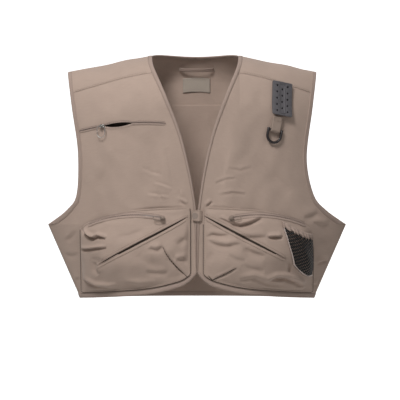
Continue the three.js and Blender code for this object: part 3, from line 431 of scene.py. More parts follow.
# Folds as (points, depth, width, heap), in millimetres from the centre line and over the hem.
PANEL_FOLDS = {
    "right": (
        (((21, 190), (27, 194), (34, 199)), 2.6, 2.6, 0.8),
        (((22, 187), (82, 184), (130, 180)), 0.9, 2.4, 0.3),
        (((66, 201), (70, 206), (74, 211)), 1.2, 4, 0.6),
        (((33, 204), (35, 212), (35, 220)), 1.2, 4, 0.6),
        (((241, 140), (250, 128), (262, 118)), 2.2, 4, 0.6),
        (((238, 92), (252, 88), (268, 92)), 1.6, 5, 0.6),
        (((236, 44), (246, 36), (252, 30)), 1.8, 4, 0.6),
        (((60, 300), (50, 260), (44, 216)), 1.4, 9, 0.5),
        (((82, 236), (64, 231), (46, 224)), 1.1, 2.6, 0.7),
        (((96, 214), (76, 211), (54, 209)), 1.2, 2.8, 0.7),
        (((104, 262), (86, 254), (66, 250)), 0.9, 3.2, 0.6),
        (((150, 300), (170, 260), (196, 220)), 1.2, 12, 0.5),
    ),
    "left": (
        (((19, 187), (24, 192), (31, 197)), 2.4, 2.6, 0.8),
        (((22, 187), (50, 186), (76, 183)), 0.9, 2.4, 0.3),
        (((239, 72), (254, 77), (275, 80)), 4.2, 3.4, 0.8),
        (((228, 26), (241, 31), (253, 35)), 2.6, 3.4, 0.7),
        (((230, 155), (246, 151), (262, 148)), 2.4, 5, 0.7),
        (((212, 163), (228, 168), (243, 174)), 1.8, 6, 0.6),
        (((236, 118), (252, 116), (270, 120)), 1.6, 7, 0.5),
        (((62, 300), (52, 256), (46, 214)), 1.2, 9, 0.5),
        (((36, 232), (56, 240), (78, 243)), 1.1, 2.6, 0.7),
        (((44, 210), (70, 214), (98, 211)), 1.3, 2.8, 0.7),
        (((64, 262), (88, 258), (112, 264)), 0.9, 3.2, 0.6),
        (((120, 290), (150, 250), (190, 216)), 1.4, 12, 0.5),
    ),
}
POCKET_FOLDS = {
    "right": (
        (((170, 126), (187, 131), (196, 127), (206, 129), (219, 137), (229, 147)), 7.5, 2.6, 0.9),
        (((166, 109), (186, 108), (206, 105), (227, 103)), 5.6, 2.4, 0.8),
        (((176, 156), (192, 153), (210, 148)), 2.0, 3.2, 0.8),
        (((60, 154), (70, 156), (82, 160)), 3.2, 3.2, 0.7),
        (((18, 49), (35, 64), (52, 84), (64, 108)), 4.6, 1.9, 0.3),
        (((64, 108), (76, 103), (90, 106)), 3.4, 4.6, 0.9),
        (((14, 76), (26, 84), (40, 82)), 3.4, 4.4, 0.9),
        (((14, 118), (26, 122), (38, 112)), 2.6, 6.5, 0.7),
        (((56, 58), (72, 57), (96, 60)), 2.6, 5.0, 0.7),
        (((80, 32), (108, 30), (138, 36)), 3.2, 5.0, 0.8),
        (((150, 28), (168, 26), (194, 29), (224, 42)), 5.4, 4.2, 0.9),
        (((184, 56), (191, 66), (190, 80)), 3.6, 5.0, 0.4),
        (((110, 92), (84, 74), (60, 50)), 2.4, 11.0, 0.5),
        (((150, 88), (170, 82), (200, 86)), 1.8, 8.0, 0.6),
        (((100, 142), (126, 132), (150, 128)), 1.4, 8.0, 0.5),
    ),
    "left": (
        (((44, 164), (62, 156), (81, 150), (100, 155), (124, 164)), 6.4, 3.4, 0.9),
        (((132, 128), (144, 129), (158, 130)), 6.0, 2.8, 0.9),
        (((74, 131), (100, 127), (128, 128)), 2.6, 5.5, 0.8),
        (((14, 125), (30, 132), (46, 130), (60, 131)), 3.0, 4.6, 0.8),
        (((20, 120), (40, 112), (56, 110), (82, 115)), 3.4, 5.0, 0.8),
        (((89, 106), (104, 98), (124, 91)), 3.0, 6.0, 0.7),
        (((22, 52), (30, 43), (42, 49), (56, 56), (74, 67)), 4.4, 1.9, 0.3),
        (((14, 72), (22, 88), (26, 98)), 2.6, 5.0, 0.7),
        (((132, 40), (150, 48), (168, 48), (188, 40), (206, 30)), 6.4, 4.2, 0.9),
        (((82, 42), (106, 48), (122, 42), (136, 35), (166, 31)), 3.6, 4.6, 0.8),
        (((190, 22), (204, 20), (216, 24)), 3.2, 3.6, 0.7),
        (((172, 60), (171, 70), (169, 80)), 4.6, 3.0, 0.3),
        (((84, 74), (100, 66), (124, 62)), 2.4, 8.0, 0.6),
        (((60, 92), (74, 84), (92, 80)), 2.0, 7.0, 0.6),
    ),
}
BACK_FOLDS = (
    (((20, 380), (34, 300), (40, 190)), 2.4, 14, 0.5),
    (((96, 380), (110, 290), (120, 160)), 2.0, 15, 0.5),
    (((190, 230), (214, 180), (236, 130)), 2.4, 10, 0.6),
    (((150, 60), (180, 66), (214, 84)), 2.0, 9, 0.6),
)


def slack():
    return bpy.context.scene.vest_sewing.slack


def front_relief(name, x, z):
    """How far a front's cloth stands off its drape: nothing under the bindings and at the seams."""
    free = np.minimum.reduce([x - edge_x(z), rim_x(z) - x, z - hem_z(x)])
    flat_top = smooth(lerp(FRONT_SEAM_Z[0], FRONT_SEAM_Z[1], np.clip((x - 80) / 165, 0, 1)) - z, 2, 40)
    start = 0 if name == "right" else 2.2
    waves = ripples(x + 40 * start, z, FRONT_WAVES) * smooth(free, 8, 50) * flat_top
    near_zip = 1 - 0.75 * np.exp(-(((z - 346) / 16) ** 2)) if name == "right" else 1
    total = waves * near_zip
    for points, depth, width, heap in PANEL_FOLDS[name]:
        total = total + fold(x, z, points, depth, width, heap) * smooth(free, 4, 12)
    if name == "left":
        # The fly patch and the ring's webbing hold the cloth flat under them.
        total = total * (1 - np.exp(-(((x - 170) / 38) ** 4) - ((z - 384) / 66) ** 4))
    return slack() * total


def front_skin(name, x, z, out=0.0):
    return on_front(SIDES[name] * x, z, front_relief(name, x, z) + out)


# ---------------------------------------------------------------- cargo pocket surface
def pocket_foot(x):
    return hem_z(x) + HEM_W + 2.5


pocket_top = spline(
    [
        (POCKET_OUT, POCKET_TOP[0]),
        (lerp(POCKET_OUT, 0, 0.12), lerp(POCKET_TOP[0], POCKET_TOP[1], 0.5)),
        (lerp(POCKET_OUT, 0, 0.44), POCKET_TOP[1]),
        (BINDING_W + 14, POCKET_TOP[2]),
    ]
)


def pocket_inner(v):
    z = lerp(pocket_foot(POCKET_INN), POCKET_TOP[2], v)
    return np.stack([np.maximum(POCKET_INN, edge_x(z) + POCKET_INN), z], -1)


def pocket_foot_line(u):
    x = lerp(POCKET_INN, POCKET_OUT, u)
    return np.stack([x, pocket_foot(x)], -1)


pocket_patch = patch(
    pocket_inner,
    line((POCKET_OUT, float(pocket_foot(POCKET_OUT))), (POCKET_OUT, POCKET_TOP[0])),
    pocket_foot_line,
    lambda u: pocket_top(1 - u),
)


def pocket_share(x, z):
    """The pocket patch's own u and v at a place."""
    u, v = 0.5 + 0 * x, 0.5 + 0 * x
    for _ in range(30):
        p = pocket_patch(u, v)
        u, v = np.clip(u + (x - p[..., 0]) / 240, 0, 1), np.clip(v + (z - p[..., 1]) / 150, 0, 1)
    return u, v


def pocket_lift(u, v):
    """A flat sewn flange, then the bellows that stands off the front."""
    a, b = np.clip((u - 0.02) / 0.96, 0, 1), np.clip((v - 0.03) / 0.94, 0, 1)
    return 1.06 * POCKET_FULL * np.clip(np.sin(math.pi * a) * np.sin(math.pi * b), 0, None) ** 0.72


def slash_z(x):
    (x0, z0), (x1, z1) = SLASH_FROM, SLASH_TO
    return z0 + (x - x0) * (z1 - z0) / (x1 - x0)


SLASH_ENDS = {"right": (18, 188), "left": (14, 162)}
SLASH_HALF = 2.3
# The small slits low on the bags, as lines from the centre line and over the hem.
SLITS = {
    "right": ((18, 49), (26, 56), (35, 64), (44, 74), (52, 84), (59, 96), (64, 108)),
    "left": ((74, 67), (65, 62), (56, 56), (42, 49), (30, 43), (22, 52)),
}


def slash_gap(name, x):
    """Half the opening of the slanted pocket mouth."""
    a, b = SLASH_ENDS[name]
    return SLASH_HALF * np.clip(np.sin(math.pi * np.clip((x - a) / (b - a), 0, 1)), 0, None) ** 0.6


def pocket_relief(name, x, z, u, v):
    border = smooth(np.minimum(np.minimum(u, 1 - u) * POCKET_SPAN, np.minimum(v, 1 - v) * POCKET_RISE), 2, 14)
    near_slider = 1 - 0.8 * np.exp(-(((x - 66) / 16) ** 2 + ((z - 164) / 12) ** 2))
    near_zip = 1 - 0.55 * np.exp(-(((z - track_z(CARGO_ZIP, x)) / 7) ** 2))
    total = ripples(x + (90 if name == "left" else 0), z, POCKET_WAVES) * near_zip
    for points, depth, width, heap in POCKET_FOLDS[name]:
        total = total + fold(x, z, points, depth, width, heap)
    a, b = SLASH_ENDS[name]
    inside = smooth(x, a, a + 10) * (1 - smooth(x, b - 10, b))
    off = z - slash_z(x)
    upper = 2.2 * np.exp(-np.clip(off, 0, None) / 14) * (off >= 0)
    lower = -1.6 * np.exp(np.clip(off, None, 0) / 9) * (off < 0)
    return slack() * border * near_slider * (total + inside * 0.5 * (upper + lower))


def pocket_skin(name, x, z, out=0.0):
    u, v = pocket_share(x, z)
    lift = LAYER + POCKET_CLOTH + pocket_lift(u, v) + pocket_relief(name, x, z, u, v)
    return on_front(SIDES[name] * x, z, lift + out)


# ---------------------------------------------------------------- meshes
def deselect():
    for o in bpy.context.selected_objects:
        o.select_set(False)


def make_active(obj):
    deselect()
    obj.select_set(True)
    bpy.context.view_layer.objects.active = obj


def apply_modifiers(obj):
    make_active(obj)
    for m in list(obj.modifiers):
        bpy.ops.object.modifier_apply(modifier=m.name)


def settle(obj, material, body="vest", replaces=()):
    """Gives a finished mesh its finish, its body and the frame nodes that it stands for."""
    obj.data.materials.clear()
    obj.data.materials.append(material)
    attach(obj, body)
    if replaces:
        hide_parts(*replaces)
    return obj


def object_of(name, verts, faces, uvs=None):
    mesh = bpy.data.meshes.new(name)
    mesh.from_pydata(np.asarray(verts, float).reshape(-1, 3).tolist(), [], faces)
    if uvs is not None:
        layer = mesh.uv_layers.new(name="cloth")
        layer.data.foreach_set("uv", np.asarray(uvs, np.float32).ravel())
    mesh.polygons.foreach_set("use_smooth", [True] * len(mesh.polygons))
    mesh.update()
    obj = bpy.data.objects.new(name, mesh)
    bpy.context.scene.collection.objects.link(obj)
    return obj


@contextmanager
def edited(obj):
    """An object's mesh, open for an edit."""
    bm = bmesh.new()
    bm.from_mesh(obj.data)
    yield bm
    bm.to_mesh(obj.data)
    bm.free()


def face_outwards(obj):
    """Turns the faces of a closed mesh outwards."""
    with edited(obj) as bm:
        bmesh.ops.recalc_face_normals(bm, faces=bm.faces)


def thicken(obj, wall):
    """Gives a sheet its thickness, behind its face."""
    m = obj.modifiers.new("wall", "SOLIDIFY")
    m.thickness, m.offset = wall, -1
    apply_modifiers(obj)


def cloth(name, grids, wall, weld=False):
    """A sheet from grids of (points, facing, uv): turned to face outwards, welded and given its thickness."""
    verts, faces, uv = [], [], []
    start, facing = 0, 0.0
    for points, normals, flat in grids:
        rows, cols = points.shape[:2]
        index = start + np.arange(rows * cols).reshape(rows, cols)
        quads = np.stack([index[:-1, :-1], index[:-1, 1:], index[1:, 1:], index[1:, :-1]], -1).reshape(-1, 4)
        verts.append(points.reshape(-1, 3))
        uv.append(flat.reshape(-1, 2))
        across = points[:-1, 1:] - points[:-1, :-1]
        up = points[1:, :-1] - points[:-1, :-1]
        facing += float((np.cross(across, up) * normals[:-1, :-1]).sum())
        faces.append(quads)
        start += rows * cols
    faces = np.concatenate(faces)
    if facing < 0:
        faces = faces[:, ::-1]
    uv = np.concatenate(uv)
    obj = object_of(name, np.concatenate(verts), faces.tolist(), uv[faces.ravel()] * MM)
    if weld:
        with edited(obj) as bm:
            bmesh.ops.remove_doubles(bm, verts=bm.verts, dist=WELD)
    if wall:
        thicken(obj, wall)
    return obj


def ribbon(name, rings, caps=True):
    """A closed band from cross-sections: rings is (stations, points round the section, 3)."""
    n, m = rings.shape[:2]
    along = np.concatenate([[0], np.cumsum(np.linalg.norm(np.diff(rings.mean(1), axis=0), axis=1))])
    loop = np.concatenate([rings[n // 2], rings[n // 2][:1]])
    round_ = np.concatenate([[0], np.cumsum(np.linalg.norm(np.diff(loop, axis=0), axis=1))])
    faces, uvs = [], []
    for i in range(n - 1):
        for j in range(m):
            k = (j + 1) % m
            faces.append((i * m + j, i * m + k, (i + 1) * m + k, (i + 1) * m + j))
            uvs += [(along[i], round_[j]), (along[i], round_[j + 1])]
            uvs += [(along[i + 1], round_[j + 1]), (along[i + 1], round_[j])]
    if caps:
        for i in (0, n - 1):
            faces.append(tuple(i * m + j for j in range(m)))
            uvs += [(along[i], round_[j]) for j in range(m)]
    obj = object_of(name, rings, faces, uvs)
    face_outwards(obj)
    return obj


STITCH_LOOP = [(-0.36, 1, 0), (-0.36, 0, 1), (-0.36, -1, 0), (-0.36, 0, -0.6)]


def stitches(name, rows, pitch=None, host="vest"):
    """One object of short threads. Each row is (points, facing): a thread every pitch along it."""
    sewing = bpy.context.scene.vest_sewing
    pitch = pitch or sewing.stitch
    half = 0.66 * pitch / 2
    r = sewing.thread / 2
    shape = np.array([(-0.5, 0, 0)] + STITCH_LOOP + [(-x, b, c) for x, b, c in STITCH_LOOP] + [(0.5, 0, 0)])
    pattern = [(0, 1 + k, 1 + (k + 1) % 4) for k in range(4)]
    pattern += [(1 + k, 5 + k, 5 + (k + 1) % 4, 1 + (k + 1) % 4) for k in range(4)]
    pattern += [(9, 5 + (k + 1) % 4, 5 + k) for k in range(4)]
    verts, faces = [], []
    for points, normals in rows:
        points, normals = points.reshape(-1, 3), normals.reshape(-1, 3)
        reach = np.concatenate([[0], np.cumsum(np.linalg.norm(np.diff(points, axis=0), axis=1))])
        at = lambda s, values: np.array([np.interp(s, reach, values[:, k]) for k in range(3)])
        for s in np.arange(pitch / 2, reach[-1], pitch):
            p, n = at(s, points), at(s, normals)
            n /= np.linalg.norm(n)
            t = at(s + half, points) - at(s - half, points)
            size = np.linalg.norm(t)
            if size < 1e-6:
                continue
            t /= size
            side = np.cross(n, t)
            start = len(verts) * 10
            verts.append(
                p
                + n * r * 0.35
                + np.outer(shape[:, 0] * 2 * half, t)
                + np.outer(shape[:, 1] * r, side)
                + np.outer(shape[:, 2] * r, n)
            )
            faces += [tuple(start + i for i in f) for f in pattern]
    obj = object_of(name, np.concatenate(verts), faces)
    face_outwards(obj)
    return settle(obj, finish("thread"), host)


# ---------------------------------------------------------------- materials
def add(tree, kind, inputs=None, **settings):
    """Adds a node with its settings, and its values or links by socket name."""
    node = tree.nodes.new(kind)
    for key, value in settings.items():
        setattr(node, key, value)
    for key, value in (inputs or {}).items():
        if isinstance(value, bpy.types.NodeSocket):
            tree.links.new(value, node.inputs[key])
        else:
            node.inputs[key].default_value = value
    return node


def fresh(name):
    material = bpy.data.materials.new(name)
    material.use_nodes = True
    tree = material.node_tree
    tree.nodes.clear()
    shader = add(tree, "ShaderNodeBsdfPrincipled")
    add(tree, "ShaderNodeOutputMaterial", {"Surface": shader.outputs[0]})
    return material, tree, shader


WHITE = (1, 1, 1, 1)


def shade(colour, factor):
    return tuple(c * factor for c in colour[:3]) + (1.0,)


def mix(tree, share, a, b, **settings):
    """A mix of two colours."""
    return add(tree, "ShaderNodeMix", {0: share, 6: a, 7: b}, data_type="RGBA", **settings)


def noise(tree, place, scale, detail, **values):
    return add(tree, "ShaderNodeTexNoise", {"Vector": place, "Scale": scale, "Detail": detail, **values})


def bump(tree, height, strength, distance, **values):
    return add(tree, "ShaderNodeBump", {"Height": height, "Strength": strength, "Distance": distance, **values})


def woven(name, colour, thread_mm, depth, sheen, roughness, mottle, slub):
    """Woven cloth: warp and weft as two crossed waves, uneven yarn and patches that took the dye differently."""
    material, tree, shader = fresh(name)
    place = add(tree, "ShaderNodeTexCoord").outputs["UV"]
    # A wave band of scale s repeats every 2 pi / 20 s.
    scale = 2 * math.pi / (20 * thread_mm * MM)
    warp = add(tree, "ShaderNodeTexWave", {"Vector": place, "Scale": scale}, bands_direction="X")
    weft = add(tree, "ShaderNodeTexWave", {"Vector": place, "Scale": scale}, bands_direction="Y")
    weave = add(tree, "ShaderNodeMath", {0: warp.outputs[1], 1: weft.outputs[1]}, operation="ADD")
    long_yarn = add(tree, "ShaderNodeMapping", {"Vector": place, "Scale": (60, 900, 1)})
    yarn = noise(tree, long_yarn.outputs[0], 1.0, 2.0)
    patches = noise(tree, place, 16.0, 4.0, Roughness=0.6)
    dark = mix(tree, patches.outputs[0], shade(colour, 1 - mottle), shade(colour, 1 + mottle))
    slubs = mix(tree, yarn.outputs[0], shade(WHITE, 1 - slub), shade(WHITE, 1 + slub))
    base = mix(tree, 1.0, dark.outputs[2], slubs.outputs[2], blend_type="MULTIPLY")
    crumple = noise(tree, place, 90.0, 3.0)
    fine = bump(tree, weave.outputs[0], 0.35, depth * MM)
    soft = bump(tree, crumple.outputs[0], 0.5, 0.6 * MM, Normal=fine.outputs[0])
    tree.links.new(base.outputs[2], shader.inputs["Base Color"])
    tree.links.new(soft.outputs[0], shader.inputs["Normal"])
    shader.inputs["Roughness"].default_value = roughness
    shader.inputs["Sheen Weight"].default_value = sheen
    shader.inputs["Sheen Roughness"].default_value = 0.45
    shader.inputs["Specular IOR Level"].default_value = 0.25
    return material


def uneven_gloss(tree, marks, low, high):
    """A roughness that wanders between two values."""
    span = {"Value": marks.outputs[0], "From Min": 0.3, "From Max": 0.7, "To Min": low, "To Max": high}
    return add(tree, "ShaderNodeMapRange", span)


def moulded(name, colour, roughness, grain_mm, grain_depth):
    """Moulded plastic or rubber: a fine spark-eroded grain and slightly uneven gloss."""
    material, tree, shader = fresh(name)
    place = add(tree, "ShaderNodeTexCoord").outputs["Object"]
    grain = noise(tree, place, 1 / (grain_mm * MM), 2.0)
    scuff = noise(tree, place, 120.0, 4.0, Roughness=0.7)
    gloss = uneven_gloss(tree, scuff, roughness - 0.08, roughness + 0.1)
    tone = mix(tree, scuff.outputs[0], shade(colour, 0.86), shade(colour, 1.16))
    pits = bump(tree, grain.outputs[0], 0.4, grain_depth * MM)
    tree.links.new(tone.outputs[2], shader.inputs["Base Color"])
    tree.links.new(gloss.outputs[0], shader.inputs["Roughness"])
    tree.links.new(pits.outputs[0], shader.inputs["Normal"])
    return material


def plated(name, colour, roughness):
    """Plated metal: bright, with fine tumbling marks and duller rubbed patches."""
    material, tree, shader = fresh(name)
    place = add(tree, "ShaderNodeTexCoord").outputs["Object"]
    rubbed = noise(tree, place, 260.0, 3.0)
    gloss = uneven_gloss(tree, rubbed, roughness - 0.08, roughness + 0.12)
    marks = noise(tree, place, 1800.0, 1.0)
    pits = bump(tree, marks.outputs[0], 0.2, 0.05 * MM)
    shader.inputs["Base Color"].default_value = colour
    shader.inputs["Metallic"].default_value = 1.0
    tree.links.new(gloss.outputs[0], shader.inputs["Roughness"])
    tree.links.new(pits.outputs[0], shader.inputs["Normal"])
    return material


# Woven finishes: name, colour or its setting, yarn and weave depth in mm, sheen, roughness, mottle, slub.
WOVEN = {
    # Washed cotton poplin: matt, with a faint bloom. Its 0.3 mm yarn is drawn at 0.9 mm so that it shows.
    "poplin": ("washed_cotton_poplin", "poplin", 0.9, 0.16, 0.12, 0.86, 0.09, 0.07),
    # Bias binding: the same cotton cut on the slant, a little darker from the folded plies.
    "binding": ("bias_cut_cotton_tape", "binding", 0.8, 0.16, 0.1, 0.85, 0.07, 0.05),
    # Polyamide pocket lining: smoother and duller than the poplin, and much darker, which paints the shade inside the
    # pockets and the shadow lines on the bags.
    "lining": ("polyamide_pocket_lining", "lining", 0.8, 0.1, 0.05, 0.8, 0.05, 0.04),
    # Polypropylene webbing: coarse flat yarns of about 1.6 mm.
    "webbing": ("woven_polypropylene_webbing", "webbing", 1.6, 0.5, 0.1, 0.7, 0.06, 0.1),
    # Satin label: close shiny weave, left blank.
    "label": ("woven_satin_label", "#a89c90", 0.6, 0.06, 0.2, 0.5, 0.03, 0.02),
    # Corded piping: twill tape drawn tight round a cord.
    "piping": ("corded_cotton_piping", "piping", 0.8, 0.1, 0.15, 0.7, 0.05, 0.05),
    # Polyester felt behind the rubber: near black, without shine.
    "felt": ("polyester_felt", "#1d1b1c", 1.2, 0.2, 0.0, 0.95, 0.05, 0.05),
    # Knitted polyester net: dark filament with a dull shine.
    "net": ("knitted_polyester_net", "net", 0.7, 0.2, 0.05, 0.55, 0.1, 0.1),
    # Spun polyester thread, a shade off the cloth.
    "thread": ("spun_polyester_thread", "thread", 0.5, 0.1, 0.1, 0.7, 0.05, 0.05),
}
# Moulded and lacquered finishes: name, colour or its setting, roughness, grain and its depth in mm.
MOULDED = {
    # Moulded thermoplastic rubber: charcoal, satin, with a fine mould grain.
    "rubber": ("moulded_thermoplastic_rubber", "rubber", 0.52, 0.7, 0.12),
    # Moulded acetal: near black with a soft highlight.
    "acetal": ("moulded_acetal", "#282122", 0.38, 0.9, 0.03),
    # Zinc runner lacquered in the colour of the cloth: satin paint over the casting.
    "lacquer": ("lacquered_zinc", "#8f7e72", 0.42, 0.9, 0.03),
    # Pressed steel, lacquered to match: the snap.
    "steel": ("lacquered_pressed_steel", "#94847a", 0.36, 0.9, 0.03),
}


def make_finish(key):
    def tint(text):
        return linear(text) if text[0] == "#" else tuple(getattr(bpy.context.scene.vest_colours, text))

    if key == "zinc":
        # Nickel-plated die-cast zinc: bright and slightly warm.
        return plated("nickel_plated_zinc", linear("#c9c6c1"), 0.28)
    table, make = (WOVEN, woven) if key in WOVEN else (MOULDED, moulded)
    name, colour, *values = table[key]
    return make(name, tint(colour), *values)


FINISHES = {}


def finish(key):
    if key not in FINISHES:
        FINISHES[key] = make_finish(key)
    return FINISHES[key]


# ---------------------------------------------------------------- panels
def grid_of(columns, rows):
    return np.meshgrid(np.linspace(0, 1, columns + 1), np.linspace(0, 1, rows + 1))


def cells(length_mm):
    return max(4, int(round(length_mm * MM / bpy.context.scene.vest_sewing.grid)))


def armhole_trim(place, row):
    """The share trimmed off beside the armhole, which starts at the underarm."""
    trim = inset(place, 1.0, row, TRIM) * smooth(row, UNDERARM_V, UNDERARM_V + 0.04)
    return np.where(row < UNDERARM_V, 0.0, trim)


def front_place(u, v):
    """A place of the front, trimmed to lie a little inside its bindings' outer edges."""
    row = lerp(foot_inset(front_patch, u, TRIM), 1.0, v)
    inner = inset(front_patch, 0.0, row, TRIM)
    outer = armhole_trim(front_patch, row)
    return front_patch(lerp(inner, 1 - outer, u), row)


def split_shares(place, line_z, columns, low_rows, high_rows):
    """Column and row shares of two grids that meet along a line across the piece."""
    u = np.linspace(0, 1, columns + 1)
    split = 0.5 + 0 * u
    for _ in range(60):
        p = place(u, split)
        split = np.clip(split + (line_z(p[..., 0]) - p[..., 1]) / 600, 0.02, 0.98)
    low = np.linspace(0, 1, low_rows + 1)[:, None]
    high = np.linspace(0, 1, high_rows + 1)[:, None]
    return (
        (u[None] + 0 * low, split[None] * (1 - (1 - low) ** 1.3)),
        (u[None] + 0 * high, split[None] + (1 - split[None]) * high**1.3),
    )


def mouth_gap(x):
    """How far the chest zip's mouth gapes, in all."""
    s = np.clip((MOUTH_OUT - x) / (MOUTH_OUT - MOUTH_INN), 0, 1)
    return MOUTH_HEIGHT * np.clip(np.sin(math.pi * s), 0, None) ** 0.8


def front_grids(name):
    line_z = lambda x: track_z(CHEST_ZIP, x)
    shares = split_shares(front_place, line_z, cells(290), cells(330), cells(110))
    grids = []
    for (u, v), is_high in zip(shares, (False, True)):
        p = front_place(u, v)
        x, z = p[..., 0], p[..., 1]
        relief = front_relief(name, x, z)
        gap = mouth_gap(x) if name == "right" else 0 * x
        off = np.abs(z - line_z(x))
        if is_high:
            z2, out = z + 0.3 * gap * np.exp(-off / 10), relief + 0.10 * gap * np.exp(-off / 12)
        else:
            z2, out = z - 0.7 * gap * np.exp(-off / 14), relief + 0.34 * gap * np.exp(-off / 9)
        points, normals = on_front(SIDES[name] * x, z2, out)
        grids.append((points, normals, np.stack([x, path_to(x, z, True)], -1)))
    return grids


def back_relief(x, z):
    free = np.minimum(rim_x(z) - np.abs(x), z - HEM_SIDE_Z)
    total = ripples(x, z, BACK_WAVES) * smooth(free, 8, 60) * smooth(BACK_SEAM_Z - z, 0, 60)
    for points, depth, width, heap in BACK_FOLDS:
        for side, shift in ((1, 0), (-1, 11)):
            crease = fold(side * x - shift, z, points, depth, width, heap)
            total = total + crease * smooth(free, 6, 24) * smooth(BACK_SEAM_Z - z, 0, 30)
    return slack() * total


def back_grid():
    u, v = grid_of(2 * cells(250), cells(330))
    side, a = np.sign(u - 0.5 + 1e-9), np.abs(2 * u - 1)
    row = lerp(foot_inset(back_patch, a, TRIM), 1.0, v)
    outer = armhole_trim(back_patch, row)
    p = back_patch(a * (1 - outer), row)
    x, z = side * p[..., 0], p[..., 1]
    points, normals = on_back(x, z, back_relief(x, z))
    return points, normals, np.stack([x, path_to(x, z, False)], -1)


YOKE_LIFT = 0.7  # the yoke is lapped over the panels
YOKE_LENGTH = 480  # from the front seam over the shoulder to the middle of the back


def yoke_grid():
    v, u = grid_of(2 * cells(520), cells(120))
    side, along = np.where(v < 0.5, -1, 1), 1 - np.abs(2 * v - 1)
    span = yoke_span(along)
    rim = np.where(along <= CORNER_V + 1e-6, 3, -1.5) / span
    p = yoke_place(lerp(3 / span, 1 - rim, u), along)
    x, path = side * p[..., 0], p[..., 1]
    wave = ripples(x, path, ((120, 30, 0.7, 0.5), (64, -20, 0.4, 2.0)))
    free = np.minimum.reduce([u, 1 - u, np.clip(along * 1.4, 0, 0.5)])
    points, normals = drape(x, path, YOKE_LIFT + slack() * wave * smooth(free, 0.03, 0.3))
    return points, normals, np.stack([x, path], -1)


# ---------------------------------------------------------------- bound edges
# Section of a folded binding: (share of its width from the outer edge, height over the cloth).
BINDING_SECTION = (
    (0.0, -0.75), (0.01, 0.05), (0.07, 0.62), (0.28, 0.98), (0.62, 1.02), (0.9, 0.86), (0.985, 0.5), (1.0, -0.1),
    (1.0, -1.6), (0.97, -2.0), (0.6, -2.25), (0.25, -2.2), (0.06, -1.95), (0.01, -1.5),
)


def station_sets(kind, side):
    """The stretches that a binding passes, each a function of the share of its width."""
    def from_patch(at, edge, rows, front):
        def stretch(w):
            reach = inset(at, edge, rows, BINDING_W) * w
            p = at(reach if edge == 0 else 1 - reach, rows)
            return side * p[..., 0], path_to(p[..., 0], p[..., 1], front)
        return stretch

    def from_yoke(edge, rows):
        def stretch(w):
            reach = BINDING_W / yoke_span(rows) * w
            p = yoke_place(reach if edge == 0 else 1 - reach, rows)
            return side * p[..., 0], p[..., 1]
        return stretch

    def from_hem(at, shares, front):
        def stretch(w):
            p = at(shares, foot_inset(at, shares, (1 - w) * HEM_W))
            return side * p[..., 0], path_to(p[..., 0], p[..., 1], front)
        return stretch

    if kind == "edge":
        low = float(foot_inset(front_patch, 0.0, 2.0))
        return [
            from_patch(front_patch, 0.0, np.linspace(low, 1, 130)[:-1], True),
            from_yoke(0, np.linspace(0, 1, 90)),
        ]
    if kind == "armhole":
        rows = np.linspace(UNDERARM_V, 1, 90)
        return [
            from_patch(front_patch, 1.0, rows[:-1], True),
            from_yoke(1, np.linspace(0, CORNER_V, 44)),
            from_patch(back_patch, 1.0, rows[::-1][1:], False),
        ]
    if kind == "hem":
        return [from_hem(front_patch, np.linspace(0, 1, 100), True)]
    return [from_hem(back_patch, np.linspace(0, 1, 90), False)]


def band_points(stretches, w, out):
    xs, paths = zip(*(s(w) for s in stretches))
    return drape(np.concatenate(xs), np.concatenate(paths), out)


def seam_row(stretches):
    """Where a binding is stitched down."""
    return band_points(stretches, 0.82, 1.15 + YOKE_LIFT * 0.4)


def binding(name, stretches, node):
    count = len(band_points(stretches, 0.0, 0.0)[0])
    step = np.arange(count)
    rings = []
    for w, out in BINDING_SECTION:
        pucker = 0.16 * np.sin(step * 1.9 + 3 * w) + 0.12 * np.sin(step * 0.7)
        # The sewn side of the tape puckers between its stitches, the folded edge stays even.
        rings.append(band_points(stretches, w, YOKE_LIFT * 0.4 + out + pucker * smooth(w, 0.2, 0.8))[0])
    obj = ribbon(name, np.stack(rings, 1))
    return settle(obj, finish("binding"), "vest", [node])


# ---------------------------------------------------------------- strips on the cloth
# Sections of the strips as (place across, height over the cloth): the first two in shares of the width, the painted
# edge shadow and the painted mouth shadow in millimetres, and the painted slit shadow in shares of its half width.
LIP_SECTION = ((0, -1.4), (0, -0.3), (0.06, 0.3), (0.2, 0.62), (0.5, 0.66), (0.85, 0.6), (0.98, 0.25), (1, -0.9))
WELT_SECTION = ((0, -1.8), (0, -0.5), (0.05, 0.1), (0.2, 0.5), (0.6, 0.55), (0.93, 0.45), (1, 0.1), (1, -0.9))
EDGE_SHADOW_SECTION = ((-0.8, -1.6), (-0.8, -0.2), (0, 0.25), (0.9, -0.2), (0.9, -1.6))
MOUTH_SHADOW_SECTION = ((-5, -3.4), (0, -3.2), (5, -3.4), (5, -4.2), (-5, -4.2))
SLIT_SHADOW_SECTION = ((-1, -1.2), (-1, 0.9), (0, 1.05), (1, 0.9), (1, -1.2))


def alongside(p, wide=1.0):
    """A line of points moved sideways by w times wide, as a function of w."""
    run = np.gradient(p, axis=0)
    run /= np.linalg.norm(run, axis=1, keepdims=True)
    return lambda w: (p[:, 0] + run[:, 1] * w * wide, p[:, 1] - run[:, 0] * w * wide)


def strip(name, skin, at, section, material, replaces=(), body="vest"):
    """A narrow closed strip: at(w) gives x and z for a place across it, section is (w, out) round it."""
    rings = [skin(*at(w), out)[0] for w, out in section]
    return settle(ribbon(name, np.stack(rings, 1)), material, body, replaces)


def zip_gap(plan, x, sign):
    if plan is CHEST_ZIP:
        return mouth_gap(x) * (0.3 if sign > 0 else 0.7)
    return 0 * x


